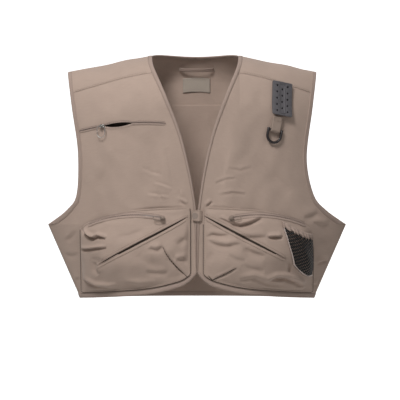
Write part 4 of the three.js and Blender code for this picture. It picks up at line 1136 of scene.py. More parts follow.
def zip_lips(name, skin, plan, node, width):
    """The two folded edges of cloth over a zip, from its mouth out to their stitching."""
    x = np.linspace(plan["out"], plan["inn"], 110)
    pieces = []
    for label, sign in (("upper", 1), ("lower", -1)):
        ends = 1 - 0.8 * np.exp(-np.minimum(x - plan["inn"], plan["out"] - x) / 3)
        at = lambda w: (x, track_z(plan, x) + sign * (0.35 + zip_gap(plan, x, sign) + w * width * ends))
        pieces.append(strip(f"{name}_lip_{label}", skin, at, LIP_SECTION, finish("binding")))
    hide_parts(node)
    return pieces


def zip_teeth(name, skin, plan):
    """Moulded coil: short teeth across the mouth, one set on each lip where it gapes."""
    corners = np.array([(a, b, c) for a in (-0.42, 0.42) for b in (-1, 1) for c in (-0.3, 0.7)])
    box = np.array([(0, 1, 3, 2), (4, 6, 7, 5), (0, 4, 5, 1), (2, 3, 7, 6), (0, 2, 6, 4), (1, 5, 7, 3)])
    x = np.arange(plan["inn"] + 2, plan["out"] - 2, 1.9)
    sign = np.where(np.arange(len(x)) % 2, 1, -1)
    gap = np.where(sign > 0, zip_gap(plan, x, 1), zip_gap(plan, x, -1))
    z = track_z(plan, x) + sign * (0.1 + gap)
    spots, normals = skin(x, z, 0.1)
    across, along = skin(x, z + 1, 0.1)[0] - spots, skin(x + 1, z, 0.1)[0] - spots
    across /= np.linalg.norm(across, axis=1, keepdims=True)
    along /= np.linalg.norm(along, axis=1, keepdims=True)
    parts = along[:, None] * corners[None, :, :1] + across[:, None] * corners[None, :, 1:2] * 1.1
    verts = spots[:, None] + MM * (parts + normals[:, None] * corners[None, :, 2:])
    faces = (box[None] + 8 * np.arange(len(x))[:, None, None]).reshape(-1, 4)
    obj = object_of(name, verts, faces.tolist())
    face_outwards(obj)
    obj.data.polygons.foreach_set("use_smooth", [False] * len(obj.data.polygons))
    return settle(obj, finish("acetal"))


# ---------------------------------------------------------------- net pocket
def net_edge_inner(v):
    v = np.asarray(v, float)
    return np.stack(
        [lerp(NET["inn"] + 6, NET["inn"], v) + 8 * (1 - v) ** 2, lerp(NET["foot"] + 26, NET["top_inn"], v)], -1
    )


def net_edge_foot(u):
    u = np.asarray(u, float)
    return np.stack(
        [lerp(NET["inn"] + 14, NET["out"], u), lerp(NET["foot"] + 26, NET["foot"], u) - 8 * np.sin(math.pi * u)], -1
    )


def net_edge_top(u):
    u = np.asarray(u, float)
    return np.stack(
        [lerp(NET["inn"], NET["out"], u), lerp(NET["top_inn"], NET["top_out"], u) - 4 * np.sin(math.pi * u)], -1
    )


net_patch = patch(
    net_edge_inner,
    line((NET["out"], NET["foot"]), (NET["out"], NET["top_out"])),
    net_edge_foot,
    net_edge_top,
)


def net_lift(u, v):
    return NET["fullness"] * np.clip(np.sin(math.pi * u), 0, None) ** 0.6 * np.sin(math.pi * v / 2) ** 0.6


def net_skin(u, v, out):
    p = net_patch(u, v)
    gather = 0.6 * np.sin(u * 34) * smooth(v, 0.5, 1.0) + 1.0 * np.sin(u * 11 + 4 * v)
    return pocket_skin("left", p[..., 0], p[..., 1], out + net_lift(u, v) + gather * np.sin(math.pi * np.clip(u, 0, 1)))


def net_sheet(name, columns, rows, hole):
    """A sheet of cells, every second one with a round hole, so that the holes run in slanting rows."""
    verts, faces, uvs = [], [], []
    corner = [(0, 0), (0.5, 0), (1, 0), (1, 0.5), (1, 1), (0.5, 1), (0, 1), (0, 0.5)]
    for j in range(rows):
        for i in range(columns):
            start = len(verts)
            verts += [((i + a) / columns, (j + b) / rows) for a, b in corner]
            if (i + j) % 2:
                faces.append(tuple(range(start, start + 8)))
                continue
            for k in range(8):
                turn = math.radians(225 + 45 * k)
                verts.append(((i + 0.5 + hole * math.cos(turn)) / columns, (j + 0.5 + hole * math.sin(turn)) / rows))
            faces += [(start + k, start + (k + 1) % 8, start + 8 + (k + 1) % 8, start + 8 + k) for k in range(8)]
    flat = np.array(verts)
    points = net_skin(flat[:, 0], flat[:, 1], 1.4)[0]
    flat_mm = net_patch(flat[:, 0], flat[:, 1]) * MM
    for f in faces:
        uvs += [flat_mm[k] for k in f]
    obj = object_of(name, points, faces, uvs)
    with edited(obj) as bm:
        bmesh.ops.remove_doubles(bm, verts=bm.verts, dist=WELD)
        bmesh.ops.recalc_face_normals(bm, faces=bm.faces)
        if sum(f.normal.y for f in bm.faces) > 0:
            bmesh.ops.reverse_faces(bm, faces=bm.faces)
    thicken(obj, 0.5 * MM)
    return obj


# ---------------------------------------------------------------- hardware
def frame_on(x, z, turn):
    """Where a small part lies on the front: a matrix whose X runs along the cloth and whose -Y faces out."""
    x, z = np.array(float(x)), np.array(float(z))
    spot, beside = on_front(x, z)[0], on_front(x + 1, z)[0]
    outward = Vector(on_front(x, z, 1.0)[0] - spot).normalized()
    along = Vector(beside - spot).normalized()
    up = outward.cross(along).normalized()
    if up.z < 0:
        up.negate()
    side = up.cross(outward).normalized()
    turned = Matrix.Rotation(math.radians(turn), 3, "Y")
    basis = Matrix((side, -outward, up)).transposed() @ turned
    return Matrix.Translation(spot) @ basis.to_4x4()


def from_cad(node, name):
    """A welded copy of a frame node, to be finished as a piece."""
    obj = bpy.data.objects.new(name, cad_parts[node].data.copy())
    bpy.context.scene.collection.objects.link(obj)
    make_active(obj)
    bpy.ops.object.mode_set(mode="EDIT")
    bpy.ops.mesh.select_all(action="SELECT")
    bpy.ops.mesh.remove_doubles(threshold=1e-6)
    bpy.ops.mesh.dissolve_limited(angle_limit=math.radians(2))
    bpy.ops.object.mode_set(mode="OBJECT")
    if obj.data.has_custom_normals:
        bpy.ops.mesh.customdata_custom_splitnormals_clear()
    return obj


def bevelled(obj, width_mm, segments=2, angle=35):
    m = obj.modifiers.new("edge", "BEVEL")
    m.width, m.segments, m.limit_method, m.angle_limit = width_mm * MM, segments, "ANGLE", math.radians(30)
    apply_modifiers(obj)
    make_active(obj)
    bpy.ops.object.shade_smooth_by_angle(angle=math.radians(angle))
    return obj


def boolean(obj, tool, operation="DIFFERENCE"):
    m = obj.modifiers.new("cut", "BOOLEAN")
    m.operation, m.object, m.solver = operation, tool, "EXACT"
    apply_modifiers(obj)
    bpy.data.objects.remove(tool)


def block(size, at=(0, 0, 0), name="block"):
    """A cube primitive brought to a size and place in millimetres, with its transform applied."""
    deselect()
    bpy.ops.mesh.primitive_cube_add(size=1, location=[c * MM for c in at])
    obj = bpy.context.object
    obj.name = name
    obj.scale = [s * MM for s in size]
    bpy.ops.object.transform_apply(location=True, rotation=True, scale=True)
    return obj


def disc(radius, depth, at, vertices=24):
    """A short cylinder along Y, in millimetres."""
    deselect()
    bpy.ops.mesh.primitive_cylinder_add(
        vertices=vertices,
        radius=radius * MM,
        depth=depth * MM,
        location=[c * MM for c in at],
        rotation=(math.pi / 2, 0, 0),
    )
    bpy.ops.object.transform_apply(location=True, rotation=True, scale=True)
    return bpy.context.object


def joined(objects, name):
    deselect()
    for o in objects:
        o.select_set(True)
    bpy.context.view_layer.objects.active = objects[0]
    if len(objects) > 1:
        bpy.ops.object.join()
    obj = bpy.context.view_layer.objects.active
    obj.name = name
    return obj


def fly_plate():
    """Rubber plate: rounded corners, three columns of holes, a sunk field and a lower edge that curls off."""
    plate = block((PATCH_W, PATCH_T, PATCH_H), (0, -PATCH_T / 2, 0), "fly_plate")
    bpy.ops.object.mode_set(mode="EDIT")
    bpy.ops.mesh.select_all(action="DESELECT")
    bm = bmesh.from_edit_mesh(plate.data)
    for e in bm.edges:
        a, b = e.verts
        e.select_set(abs(a.co.y - b.co.y) > 1e-3)
    bmesh.update_edit_mesh(plate.data)
    bpy.ops.mesh.bevel(offset=2.6 * MM, segments=5)
    bpy.ops.object.mode_set(mode="OBJECT")
    field = block((9.8, 1.4, 60), (0, -PATCH_T, 0), "field")
    boolean(plate, bevelled(field, 0.3))
    rim = block((14, 1.2, 64.5), (0, -PATCH_T, 0), "rim")
    core = block((12.4, 3, 62.9), (0, -PATCH_T, 0), "core")
    boolean(rim, core)
    boolean(plate, rim)
    holes = []
    for i, count in enumerate(HOLE_COLUMNS):
        for k in range(count):
            holes.append(disc(HOLE_D / 2, 20, ((i - 1) * HOLE_X, 0, (k - (count - 1) / 2) * HOLE_Z), 20))
    boolean(plate, joined(holes, "holes"))
    bevelled(plate, 0.35, 2)
    make_active(plate)
    bpy.ops.object.mode_set(mode="EDIT")
    for k in range(-12, 13):
        bpy.ops.mesh.select_all(action="SELECT")
        bpy.ops.mesh.bisect(plane_co=(0, 0, k * 2.9 * MM), plane_no=(0, 0, 1))
    bpy.ops.object.mode_set(mode="OBJECT")
    for v in plate.data.vertices:
        x, z = v.co.x / MM, v.co.z / MM
        curl = 3.2 * max(0.0, (-z - 6) / 30) ** 1.8 + 0.9 * max(0.0, (z - 22) / 14) ** 2
        bow = 0.7 * (x / (PATCH_W / 2)) ** 2
        v.co.y -= (curl - bow) * MM
    return plate


def ring_rod():
    """The D of the ring: one round rod drawn down a leg, round the bow and up the other leg, then its bar."""
    half, r = (RING_W - RING_STOCK) / 2, RING_STOCK / 2
    legs = RING_DROP - r - half
    deselect()
    bpy.ops.mesh.primitive_circle_add(vertices=18, radius=r * MM, location=(-half * MM, 0, RING_EAR * MM))
    rod = bpy.context.object
    bpy.ops.object.transform_apply(location=True, rotation=True, scale=True)
    bpy.ops.object.mode_set(mode="EDIT")
    bpy.ops.mesh.select_all(action="SELECT")
    down = {"value": (0, 0, -(legs + RING_EAR) * MM)}
    bpy.ops.mesh.extrude_region_move(TRANSFORM_OT_translate=down)
    bpy.ops.mesh.spin(steps=30, angle=math.pi, center=(0, 0, -legs * MM), axis=(0, 1, 0))
    bpy.ops.mesh.extrude_region_move(TRANSFORM_OT_translate={"value": (0, 0, (legs + RING_EAR) * MM)})
    bpy.ops.mesh.select_all(action="SELECT")
    bpy.ops.mesh.remove_doubles(threshold=1e-6)
    bpy.ops.mesh.fill_holes(sides=0)
    bpy.ops.mesh.select_all(action="SELECT")
    bpy.ops.mesh.normals_make_consistent(inside=False)
    bpy.ops.object.mode_set(mode="OBJECT")
    deselect()
    bpy.ops.mesh.primitive_cylinder_add(
        vertices=18, radius=0.4 * RING_STOCK * MM, depth=2 * half * MM, rotation=(0, math.pi / 2, 0)
    )
    bpy.ops.object.transform_apply(location=True, rotation=True, scale=True)
    bar = bpy.context.object
    ring = joined([rod, bar], "ring")
    return bevelled(ring, 0.5, 3, 50)


# ---------------------------------------------------------------- operators
class VEST_OT_stage(bpy.types.Operator):
    """Set up the floor, the studio lights and the camera"""

    bl_idname = "vest.stage"
    bl_label = "Stage"

    def execute(self, context):
        stage = context.scene.vest_stage
        scene = context.scene
        hem = -CROWN[2] * MM
        floor_z = hem - stage.floor_drop
        # Cyclorama: the floor runs back and curves up into the backdrop.
        profile = [(-6.0, floor_z), (FLOOR_BACK, floor_z)]
        for k in range(1, 13):
            turn = math.pi / 2 * k / 12
            profile.append((FLOOR_BACK + SWEEP_R * math.sin(turn), floor_z + SWEEP_R * (1 - math.cos(turn))))
        profile.append((FLOOR_BACK + SWEEP_R, SWEEP_TOP))
        verts = [(x, y, z) for y, z in profile for x in (-SWEEP_HALF, SWEEP_HALF)]
        faces = [(2 * i, 2 * i + 1, 2 * i + 3, 2 * i + 2) for i in range(len(profile) - 1)]
        sweep = object_of("studio_sweep", verts, faces)
        material, tree, shader = fresh("painted_studio_sweep")
        # Matt white studio paint, washed with its own light so that it stays even.
        tone = add(tree, "ShaderNodeTexNoise", {"Scale": 3.0, "Detail": 2.0})
        paint = mix(tree, tone.outputs[0], linear("#f1f1f0"), linear("#f6f6f5"))
        tree.links.new(paint.outputs[2], shader.inputs["Base Color"])
        shader.inputs["Roughness"].default_value = 0.9
        shader.inputs["Emission Color"].default_value = (1, 1, 1, 1)
        # Only the upright part of the sweep is lit from behind, so that no light comes up from the floor.
        height = add(tree, "ShaderNodeSeparateXYZ", {0: add(tree, "ShaderNodeTexCoord").outputs["Object"]})
        wash = {"Value": height.outputs[2], "From Min": floor_z + 0.02, "From Max": floor_z + 0.2}
        wash.update({"To Min": 0.0, "To Max": 0.9})
        tree.links.new(add(tree, "ShaderNodeMapRange", wash).outputs[0], shader.inputs["Emission Strength"])
        sweep.data.materials.append(material)

        world = bpy.data.worlds.new("studio")
        scene.world = world
        world.use_nodes = True
        world.node_tree.nodes["Background"].inputs[0].default_value = (1, 1, 1, 1)
        world.node_tree.nodes["Background"].inputs[1].default_value = 0.23
        lights = (
            ("key_light", (-0.7, -1.85, 1.5), 0.7, stage.key),
            ("fill_light", (1.9, -2.2, 0.5), 1.8, stage.fill),
            ("top_light", (-0.3, -0.5, 2.0), 1.2, 7),
        )
        for name, place, size, power in lights:
            data = bpy.data.lights.new(name, "AREA")
            data.shape, data.size, data.energy = "SQUARE", size, power
            lamp = bpy.data.objects.new(name, data)
            scene.collection.objects.link(lamp)
            lamp.location = place
            aim = Vector(LIGHTS_AIM) - Vector(place)
            lamp.rotation_euler = aim.to_track_quat("-Z", "Y").to_euler()
        camera = bpy.data.objects.new("camera", bpy.data.cameras.new("camera"))
        scene.collection.objects.link(camera)
        camera.data.lens = stage.lens
        camera.data.sensor_width = 36
        camera.data.clip_end = 100
        camera.location = (0.006, -(30 + CROWN[1]) * MM - stage.distance, hem + 0.2)
        camera.rotation_euler = (math.pi / 2, 0, 0)
        scene.camera = camera
        scene.view_settings.view_transform = "Standard"
        return {"FINISHED"}


class VEST_OT_panels(bpy.types.Operator):
    """Cut and drape the fronts, the back and the yoke"""

    bl_idname = "vest.panels"
    bl_label = "Panels"

    def execute(self, context):
        wall = context.scene.vest_sewing.cloth
        for name in SIDES:
            obj = cloth(f"front_{name}", front_grids(name), wall, weld=True)
            settle(obj, finish("poplin"), "vest", [f"front_panel_{name}"])
        back = settle(cloth("back_cloth", [back_grid()], wall), finish("poplin"), "vest", ["back_panel"])
        yoke = settle(cloth("yoke_cloth", [yoke_grid()], wall), finish("poplin"), "vest", ["yoke"])
        return {"FINISHED"}


class VEST_OT_bindings(bpy.types.Operator):
    """Bind the front edges, the armholes and the hem"""

    bl_idname = "vest.bindings"
    bl_label = "Bindings"

    def execute(self, context):
        rows = []
        for name, side in SIDES.items():
            nodes = (("edge", "front_edge_binding_"), ("armhole", "armhole_binding_"), ("hem", "hem_binding_"))
            for kind, node in nodes:
                stretches = station_sets(kind, side)
                binding(f"{kind}_tape_{name}", stretches, node + name)
                rows.append(seam_row(stretches))
        right, left = station_sets("back_hem", -1)[0], station_sets("back_hem", 1)[0]

        def whole(w):
            (xr, pr), (xl, pl) = right(w), left(w)
            return np.concatenate([xr[::-1], xl[1:]]), np.concatenate([pr[::-1], pl[1:]])

        binding("back_hem_tape", [whole], "hem_binding_back")
        rows.append(seam_row([whole]))
        stitches("binding_stitches", rows)
        return {"FINISHED"}


class VEST_OT_seams(bpy.types.Operator):
    """Top-stitch the yoke seams and the side seams"""

    bl_idname = "vest.seams"
    bl_label = "Seams"

    def execute(self, context):
        rows = []
        u = np.linspace(0.1, 0.93, 60)
        for side in SIDES.values():
            for inward in (2.2, 7.5):
                v = inward / YOKE_LENGTH
                p = yoke_place(u, v + 0 * u)
                rows.append(drape(side * p[..., 0], p[..., 1], YOKE_LIFT + 0.1))
            z = np.linspace(14, 148, 40)
            x = side_half(z) - 4
            rows.append(on_front(side * x, z, 0.15))
            rows.append(on_back(side * x, z, 0.15))
        x = np.linspace(-236, 236, 160)
        for lift in (2.5, 8):
            rows.append(on_back(x, BACK_SEAM_Z + lift + 0 * x, YOKE_LIFT + 0.15))
        stitches("seam_stitches", rows)
        return {"FINISHED"}


class VEST_OT_cargo_pockets(bpy.types.Operator):
    """Sew the two cargo pockets with their slanted mouths"""

    bl_idname = "vest.cargo_pockets"
    bl_label = "Cargo pockets"

    def execute(self, context):
        wall = context.scene.vest_sewing.pocket_cloth
        for name in SIDES:
            obj = cloth(f"cargo_{name}", self.grids(name), wall, weld=True)
            settle(obj, finish("poplin"), "vest", [f"cargo_pocket_{name}"])
            self.welts(name)
            self.turned_edge(name)
            self.stitching(name)
        return {"FINISHED"}

    def grids(self, name):
        shares = split_shares(pocket_patch, slash_z, 136, 62, 62)
        grids = []
        for (u, v), is_high in zip(shares, (False, True)):
            p = pocket_patch(u, v)
            x, z = p[..., 0], p[..., 1]
            gap = slash_gap(name, x)
            off = np.abs(z - slash_z(x))
            sign = 1 if is_high else -1
            lift = LAYER + POCKET_CLOTH + pocket_lift(u, v) + pocket_relief(name, x, z, u, v)
            roll = -2.6 * (gap / SLASH_HALF) * np.exp(-off / 1.1)
            points, normals = on_front(SIDES[name] * x, z + sign * gap * np.exp(-off / 5), lift + roll)
            grids.append((points, normals, np.stack([x, path_to(x, z, True)], -1)))
        return grids

    def welts(self, name):
        a, b = SLASH_ENDS[name]
        x = np.linspace(a + 1, b - 1, 90)
        skin = partial(pocket_skin, name)
        for label, sign in (("upper", 1), ("lower", -1)):
            ends = np.clip(np.minimum(x - a, b - x) / 5, 0.15, 1)
            at = lambda w: (x, slash_z(x) + sign * (slash_gap(name, x) + 0.2 + 6.4 * w * ends))
            node = f"slash_welt_{label}_{name}"
            strip(f"welt_{label}_{name}", skin, at, WELT_SECTION, finish("poplin"), [node])

    def turned_edge(self, name):
        """Painted shadows: dark strips in the lining colour along the bag's turned edge, behind its mouth and along its
        small slits.
        """
        skin = partial(pocket_skin, name)
        t = np.linspace(0.02, 0.98, 60)
        # On the left it stops below the closure tab, which folds back over it.
        reach = 0.76 if name == "left" else 1.0
        runs = [(0 * t, reach * (1 - t)), (t, 0 * t), (0 * t + 1, t)]
        bag_edge = np.concatenate([pocket_patch(u, v) for u, v in runs])
        # A dark strip round the bag's inner, lower and outer edges paints the shadow of its turned seam.
        strip(f"turned_edge_{name}", skin, alongside(bag_edge), EDGE_SHADOW_SECTION, finish("lining"))
        # A dark sheet below the cloth behind the slanted mouth paints the shade inside the pocket.
        a, b = SLASH_ENDS[name]
        x = np.linspace(a + 2, b - 2, 70)
        at = lambda w: (x, slash_z(x) + w)
        strip(f"mouth_facing_{name}", skin, at, MOUTH_SHADOW_SECTION, finish("lining"))
        # A dark strip standing just proud of the cloth along each small slit paints the slit's shadow line.
        points = np.array(SLITS[name], float)
        t = np.linspace(0, len(points) - 1, 60)
        p = np.stack([np.interp(t, np.arange(len(points)), points[:, k]) for k in (0, 1)], -1)
        wide = 0.95 * np.sin(math.pi * np.linspace(0.04, 0.96, 60)) ** 0.5
        strip(f"slit_facing_{name}", skin, alongside(p, wide), SLIT_SHADOW_SECTION, finish("lining"))

    def stitching(self, name):
        a, b = SLASH_ENDS[name]
        skin = partial(pocket_skin, name)
        rows = []
        x = np.linspace(a + 3, b - 3, 90)
        for sign in (1, -1):
            rows.append(skin(x, slash_z(x) + sign * (slash_gap(name, x) + 5.6), 0.85))
        for s in (a, b):  # bar tacks across the ends of the mouth
            z = np.linspace(-5.5, 5.5, 14) + slash_z(s)
            rows.append(skin(s + 0 * z, z, 0.9))
        t = np.linspace(0.03, 0.97, 120)
        inset_u, inset_v = 2.4 / POCKET_SPAN, 2.4 / POCKET_RISE
        edges = ((t, inset_v + 0 * t), (t, 1 - inset_v + 0 * t), (inset_u + 0 * t, t), (1 - inset_u + 0 * t, t))
        for u, v in edges:
            p = pocket_patch(u, v)
            rows.append(skin(p[..., 0], p[..., 1], 0.1))
        stitches(f"cargo_stitches_{name}", rows)


class VEST_OT_zips(bpy.types.Operator):
    """Set in the three zips, with their sliders and pulls"""

    bl_idname = "vest.zips"
    bl_label = "Zips"

    def execute(self, context):
        plans = (
            ("chest_zip", partial(front_skin, "right"), CHEST_ZIP, 4.2),
            ("cargo_zip_right", partial(pocket_skin, "right"), CARGO_ZIP, 5.4),
            ("cargo_zip_left", partial(pocket_skin, "left"), CARGO_ZIP, 5.4),
        )
        for name, skin, plan, width in plans:
            zip_lips(name, skin, plan, name + "_tape", width)
            zip_teeth(name + "_teeth", skin, plan)
            x = np.linspace(plan["out"] - 2, plan["inn"] + 2, 90)
            rows = []
            for sign in (1, -1):
                rows.append(skin(x, track_z(plan, x) + sign * (width - 0.5 + zip_gap(plan, x, sign)), 1.15))
            stitches(name + "_stitches", rows)
            slider = from_cad(name + "_slider", name + "_runner")
            bevelled(slider, 0.35)
            metal = finish("zinc" if name == "chest_zip" else "lacquer")
            settle(slider, metal, name + "_slider", [name + "_slider"])
            pull = from_cad(name + "_pull", name + "_ring")
            m = pull.modifiers.new("round", "SUBSURF")
            m.levels = m.render_levels = 2
            apply_modifiers(pull)
            pull.data.polygons.foreach_set("use_smooth", [True] * len(pull.data.polygons))
            settle(pull, metal, name + "_pull", [name + "_pull"])
        return {"FINISHED"}


class VEST_OT_chest_pouch(bpy.types.Operator):
    """Hang the pouch behind the chest zip"""

    bl_idname = "vest.chest_pouch"
    bl_label = "Chest pouch"

    def execute(self, context):
        u, v = grid_of(56, 44)
        x = lerp(CHEST_ZIP["inn"], CHEST_ZIP["out"] - 12, u)
        z = lerp(CHEST_ZIP["z_out"] + 22 - 118, CHEST_ZIP["z_out"] + 22, v)
        belly = 18 * np.clip(np.sin(math.pi * u) * np.sin(math.pi * v), 0, None) ** 0.5
        wave = ripples(x, z, ((52, 10, 0.9, 0.2), (31, 70, 0.5, 1.9))) * np.sin(math.pi * u) * np.sin(math.pi * v)
        # Where the front sinks into a fold, the pouch sinks with it.
        sunk = np.minimum(front_relief("right", x, z), 0)
        points, normals = on_front(-x, z, -2.9 - belly + wave + sunk)
        obj = cloth("chest_pouch", [(points, normals, np.stack([x, z], -1))], 0.9 * MM)
        # The pouch is pocket lining, and also painted shade: it takes the darkened lining colour, which paints the
        # shade seen through the chest pocket's mouth.
        settle(obj, finish("lining"), "vest", ["chest_pocket_bag"])
        return {"FINISHED"}


class VEST_OT_net_pocket(bpy.types.Operator):
    """Gather the net pocket on its elastic, with its piped edge"""

    bl_idname = "vest.net_pocket"
    bl_label = "Net pocket"

    def execute(self, context):
        net = settle(net_sheet("net_cloth", 18, 24, 0.46), finish("net"), "vest", ["mesh_pocket_panel"])
        u, v = grid_of(90, 7)
        p = net_edge_top(u)
        ruffle = np.sin(u * 2 * math.pi * 9 + 1.2 * np.sin(u * 21))
        z = p[..., 1] - 2 + v * 10.5 - 1.2 * ruffle * (1 - v)
        lift = 1.6 + net_lift(u, 1.0 + 0 * u) + 1.5 * ruffle * (1 - 0.5 * v) + 1.2 * np.sin(math.pi * v)
        points, normals = pocket_skin("left", p[..., 0], z, lift)
        top = cloth("net_elastic", [(points, normals, np.stack([p[..., 0], z], -1))], 1.6 * MM)
        settle(top, finish("binding"), "vest", ["mesh_pocket_elastic"])
        row = [pocket_skin("left", p[k, :, 0], z[k], lift[k] + 0.2) for k in (2, 5)]
        self.piping()
        stitches("net_elastic_stitches", row, pitch=2.6 * MM)
        return {"FINISHED"}

    def piping(self):
        t = np.linspace(0, 1, 60)
        side, foot = net_edge_inner(1 - t), net_edge_foot(t)
        outwards = alongside(np.concatenate([side[:-1], foot]))
        rings = []
        for k in range(10):
            turn = 2 * math.pi * k / 10
            reach, lift = 1.45 * math.cos(turn), 1.35 * math.sin(turn)
            rings.append(pocket_skin("left", *outwards(reach - 1.6), 1.9 + lift)[0])
        settle(ribbon("net_piping", np.stack(rings, 1)), finish("piping"), "vest", ["mesh_pocket_piping"])


class VEST_OT_fly_patch(bpy.types.Operator):
    """Mould the fly patch and sew down its backing"""

    bl_idname = "vest.fly_patch"
    bl_label = "Fly patch"

    def execute(self, context):
        place = frame_on(*PATCH_AT)
        plate = fly_plate()
        plate.data.transform(place @ Matrix.Translation((0, -PATCH_OUT * MM, 0)))
        plate.name = "fly_plate"
        settle(plate, finish("rubber"), "fly_patch", ["fly_patch_plate"])
        u, v = grid_of(18, 30)
        corners = 1 - 0.04 * (np.abs(2 * u - 1) ** 6) * (np.abs(2 * v - 1) ** 6)
        flat = np.stack([(u - 0.5) * 36 * corners, -2.4 + 0 * u, (v - 0.5) * 60 * corners], -1) * MM
        m = np.array(place)
        points = flat @ m[:3, :3].T + m[:3, 3]
        normals = np.broadcast_to(-m[:3, 1], points.shape)
        pad = cloth("fly_backing", [(points, normals, flat[..., (0, 2)] / MM)], 2.0 * MM)
        settle(pad, finish("felt"), "vest", ["fly_patch_base"])
        return {"FINISHED"}


class VEST_OT_d_ring(bpy.types.Operator):
    """Bend the D-ring and fold its webbing round the bar"""

    bl_idname = "vest.d_ring"
    bl_label = "D-ring"

    def execute(self, context):
        place = frame_on(*RING_AT)
        bar_out = LAYER + WEB_T + 0.4 * RING_STOCK + 0.5
        ring = ring_rod()
        ring.data.transform(place @ Matrix.Translation((0, -bar_out * MM, 0)))
        ring.name = "d_ring_rod"
        settle(ring, finish("acetal"), "d_ring", ["d_ring"])
        self.webbing(place, bar_out)
        return {"FINISHED"}

    def webbing(self, place, bar_out):
        inner = 0.4 * RING_STOCK + 0.5
        spots = [(inner * 0.45, z, 1, 0) for z in np.linspace(WEB_LENGTH, WEB_LENGTH * 0.62, 8)]
        spots += [(lerp(0.45, 1, t) * inner, z, 1, 0) for t, z in zip(np.linspace(0, 1, 7), np.linspace(16, 2, 7))]
        for k in range(13):
            turn = math.pi / 2 - math.pi * k / 12
            spots.append((inner * math.sin(turn), -inner * math.cos(turn), math.sin(turn), -math.cos(turn)))
        spots += [(-inner, z, -1, 0) for z in np.linspace(3, WEB_LENGTH, 12)]
        s = np.array(spots)
        section = [(-1, 0.25), (-0.97, 0.9), (-0.8, 1), (-0.4, 1), (0, 1), (0.4, 1), (0.8, 1), (0.97, 0.9), (1, 0.25)]
        section += [(0.97, 0.05), (0.6, 0), (0, 0), (-0.6, 0), (-0.97, 0.05)]
        rings = []
        for a, t in section:
            x = np.full(len(s), a * WEB_W / 2)
            y = -(bar_out + s[:, 0] + s[:, 2] * t * WEB_T)
            rings.append(np.stack([x, y, s[:, 1] + s[:, 3] * t * WEB_T], -1))
        m = np.array(place)
        points = np.stack(rings, 1) * MM @ m[:3, :3].T + m[:3, 3]
        strap = ribbon("ring_webbing", points)
        settle(strap, finish("webbing"), "vest", ["d_ring_webbing"])
        front = -(bar_out + inner * 0.45 + WEB_T)
        rows = []
        # A box of stitches with one diagonal.
        top, foot = ((-8, 25), (8, 25)), ((-8, 18), (8, 18))
        for a, b in (top, foot, (top[0], foot[0]), (top[1], foot[1]), (top[0], foot[1])):
            x, z = np.linspace(a[0], b[0], 12), np.linspace(a[1], b[1], 12)
            local = np.stack([x, np.full(12, front - 0.05), z], -1) * MM
            rows.append((local @ m[:3, :3].T + m[:3, 3], np.broadcast_to(-m[:3, 1], (12, 3))))
        stitches("webbing_stitches", rows, pitch=2.2 * MM)


class VEST_OT_closure(bpy.types.Operator):
    """Sew on the closing tab with its snap"""

    bl_idname = "vest.closure"
    bl_label = "Closure"

    def execute(self, context):
        root_out = LAYER + 0.5
        far_out = root_out + 2.4 + 0.3
        u, v = grid_of(26, 26)
        x = lerp(TAB_ROOT, TAB_ROOT - TAB_REACH, u)
        half = TAB_H / 2 * (1 - 0.28 * u**3)
        out = lerp(root_out, far_out, smooth(u, 0, 0.34)) + TAB_T + 0.5 * np.sin(math.pi * v) * (1 - u)
        points, normals = on_front(x, TAB_Z + (2 * v - 1) * half, out)
        tab = cloth("closure_tab_cloth", [(points, normals, np.stack([x, 30 * v], -1))], 1.5 * MM)
        settle(tab, finish("poplin"), "closure_tab", ["closure_tab"])
        rows = [(points[k], normals[k]) for k in (2, 24)]
        rows.append((points[2:25, 24], normals[2:25, 24]))
        rows += [(points[:, k], normals[:, k]) for k in (1, 3)]
        stitches("tab_stitches", rows, pitch=2.4 * MM, host="closure_tab")
        place = frame_on(TAB_ROOT - TAB_REACH * 0.7, TAB_Z, 0)
        halves = (
            ("snap_cap", 6, 1.0, far_out + TAB_T + 0.2, 32, "closure_tab", "snap_socket"),
            ("snap_post", 4, 1.2, root_out + 0.6, 24, "vest", "snap_stud"),
        )
        for name, radius, depth, out, vertices, body, node in halves:
            half = disc(radius, depth, (0, -out, 0), vertices)
            self.dish(half)
            half.data.transform(place)
            half.name = name
            settle(half, finish("steel"), body, [node])
        return {"FINISHED"}

    def dish(self, obj):
        """Presses a shallow dish with a rolled rim into a disc's outer face."""
        make_active(obj)
        bpy.ops.object.mode_set(mode="EDIT")
        bpy.ops.mesh.select_mode(type="FACE")
        bpy.ops.mesh.select_all(action="DESELECT")
        bm = bmesh.from_edit_mesh(obj.data)
        outer = min(bm.faces, key=lambda f: f.calc_center_median().y)
        outer.select_set(True)
        bmesh.update_edit_mesh(obj.data)
        bpy.ops.mesh.inset(thickness=0.9 * MM, depth=0)
        bpy.ops.mesh.inset(thickness=0.7 * MM, depth=-0.3 * MM)
        bpy.ops.mesh.inset(thickness=0.9 * MM, depth=0.1 * MM)
        bpy.ops.object.mode_set(mode="OBJECT")
        bevelled(obj, 0.22, 2, 50)


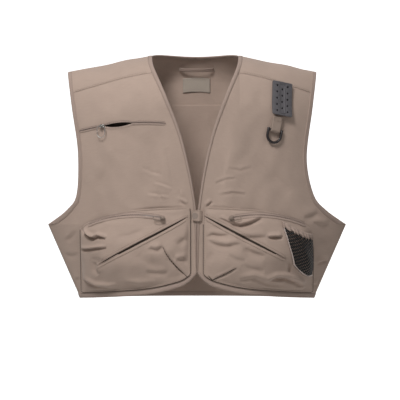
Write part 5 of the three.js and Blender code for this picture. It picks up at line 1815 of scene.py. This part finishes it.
class VEST_OT_neck(bpy.types.Operator):
    """Sew the hang loop and the blank label inside the back neck"""

    bl_idname = "vest.neck"
    bl_label = "Hang loop and label"

    def execute(self, context):
        back_neck = NECK_DROP + BINDING_W + 4
        u, v = grid_of(40, 6)
        x = (u - 0.5) * 70
        arc = 11 * np.clip(np.sin(math.pi * u), 0, None) ** 0.7
        points, normals = drape(x, back_neck + 16 - 8 * v, -1.6 - LAYER - arc)
        loop = cloth("hang_loop_tape", [(points, normals, np.stack([x, 8 * v], -1))], 1.2 * MM)
        settle(loop, finish("binding"), "vest", ["hang_loop"])
        u, v = grid_of(24, 14)
        x = (u - 0.5) * 56
        bow = 0.6 * np.sin(math.pi * u) * np.sin(math.pi * v)
        points, normals = drape(x, back_neck + 34 + 30 * (1 - v), -1.6 - LAYER - bow)
        label = cloth("blank_label", [(points, normals, np.stack([x, 30 * v], -1))], 0.6 * MM)
        settle(label, finish("label"), "vest", ["neck_label"])
        return {"FINISHED"}


STEPS = (
    VEST_OT_stage,
    VEST_OT_panels,
    VEST_OT_bindings,
    VEST_OT_seams,
    VEST_OT_cargo_pockets,
    VEST_OT_zips,
    VEST_OT_chest_pouch,
    VEST_OT_net_pocket,
    VEST_OT_fly_patch,
    VEST_OT_d_ring,
    VEST_OT_closure,
    VEST_OT_neck,
)


class VEST_PT_sidebar(bpy.types.Panel):
    """Sizes, colours and steps of the vest"""

    bl_idname = "VEST_PT_sidebar"
    bl_label = "Vest"
    bl_space_type = "VIEW_3D"
    bl_region_type = "UI"
    bl_category = "Vest"

    def draw(self, context):
        for group in (context.scene.vest_sewing, context.scene.vest_colours, context.scene.vest_stage):
            box = self.layout.box()
            for key in group.__annotations__:
                box.prop(group, key)
        for step in STEPS:
            self.layout.operator(step.bl_idname)


CLASSES = (VestSewing, VestColours, VestStage, *STEPS, VEST_PT_sidebar)


def register():
    for c in CLASSES:
        bpy.utils.register_class(c)
    bpy.types.Scene.vest_sewing = bpy.props.PointerProperty(type=VestSewing)
    bpy.types.Scene.vest_colours = bpy.props.PointerProperty(type=VestColours)
    bpy.types.Scene.vest_stage = bpy.props.PointerProperty(type=VestStage)


def unregister():
    del bpy.types.Scene.vest_sewing
    del bpy.types.Scene.vest_colours
    del bpy.types.Scene.vest_stage
    for c in reversed(CLASSES):
        bpy.utils.unregister_class(c)


def main():
    """Runs every step."""
    register()
    for step in STEPS:
        group, name = step.bl_idname.split(".")
        getattr(getattr(bpy.ops, group), name)()


if __name__ == "__main__":
    main()
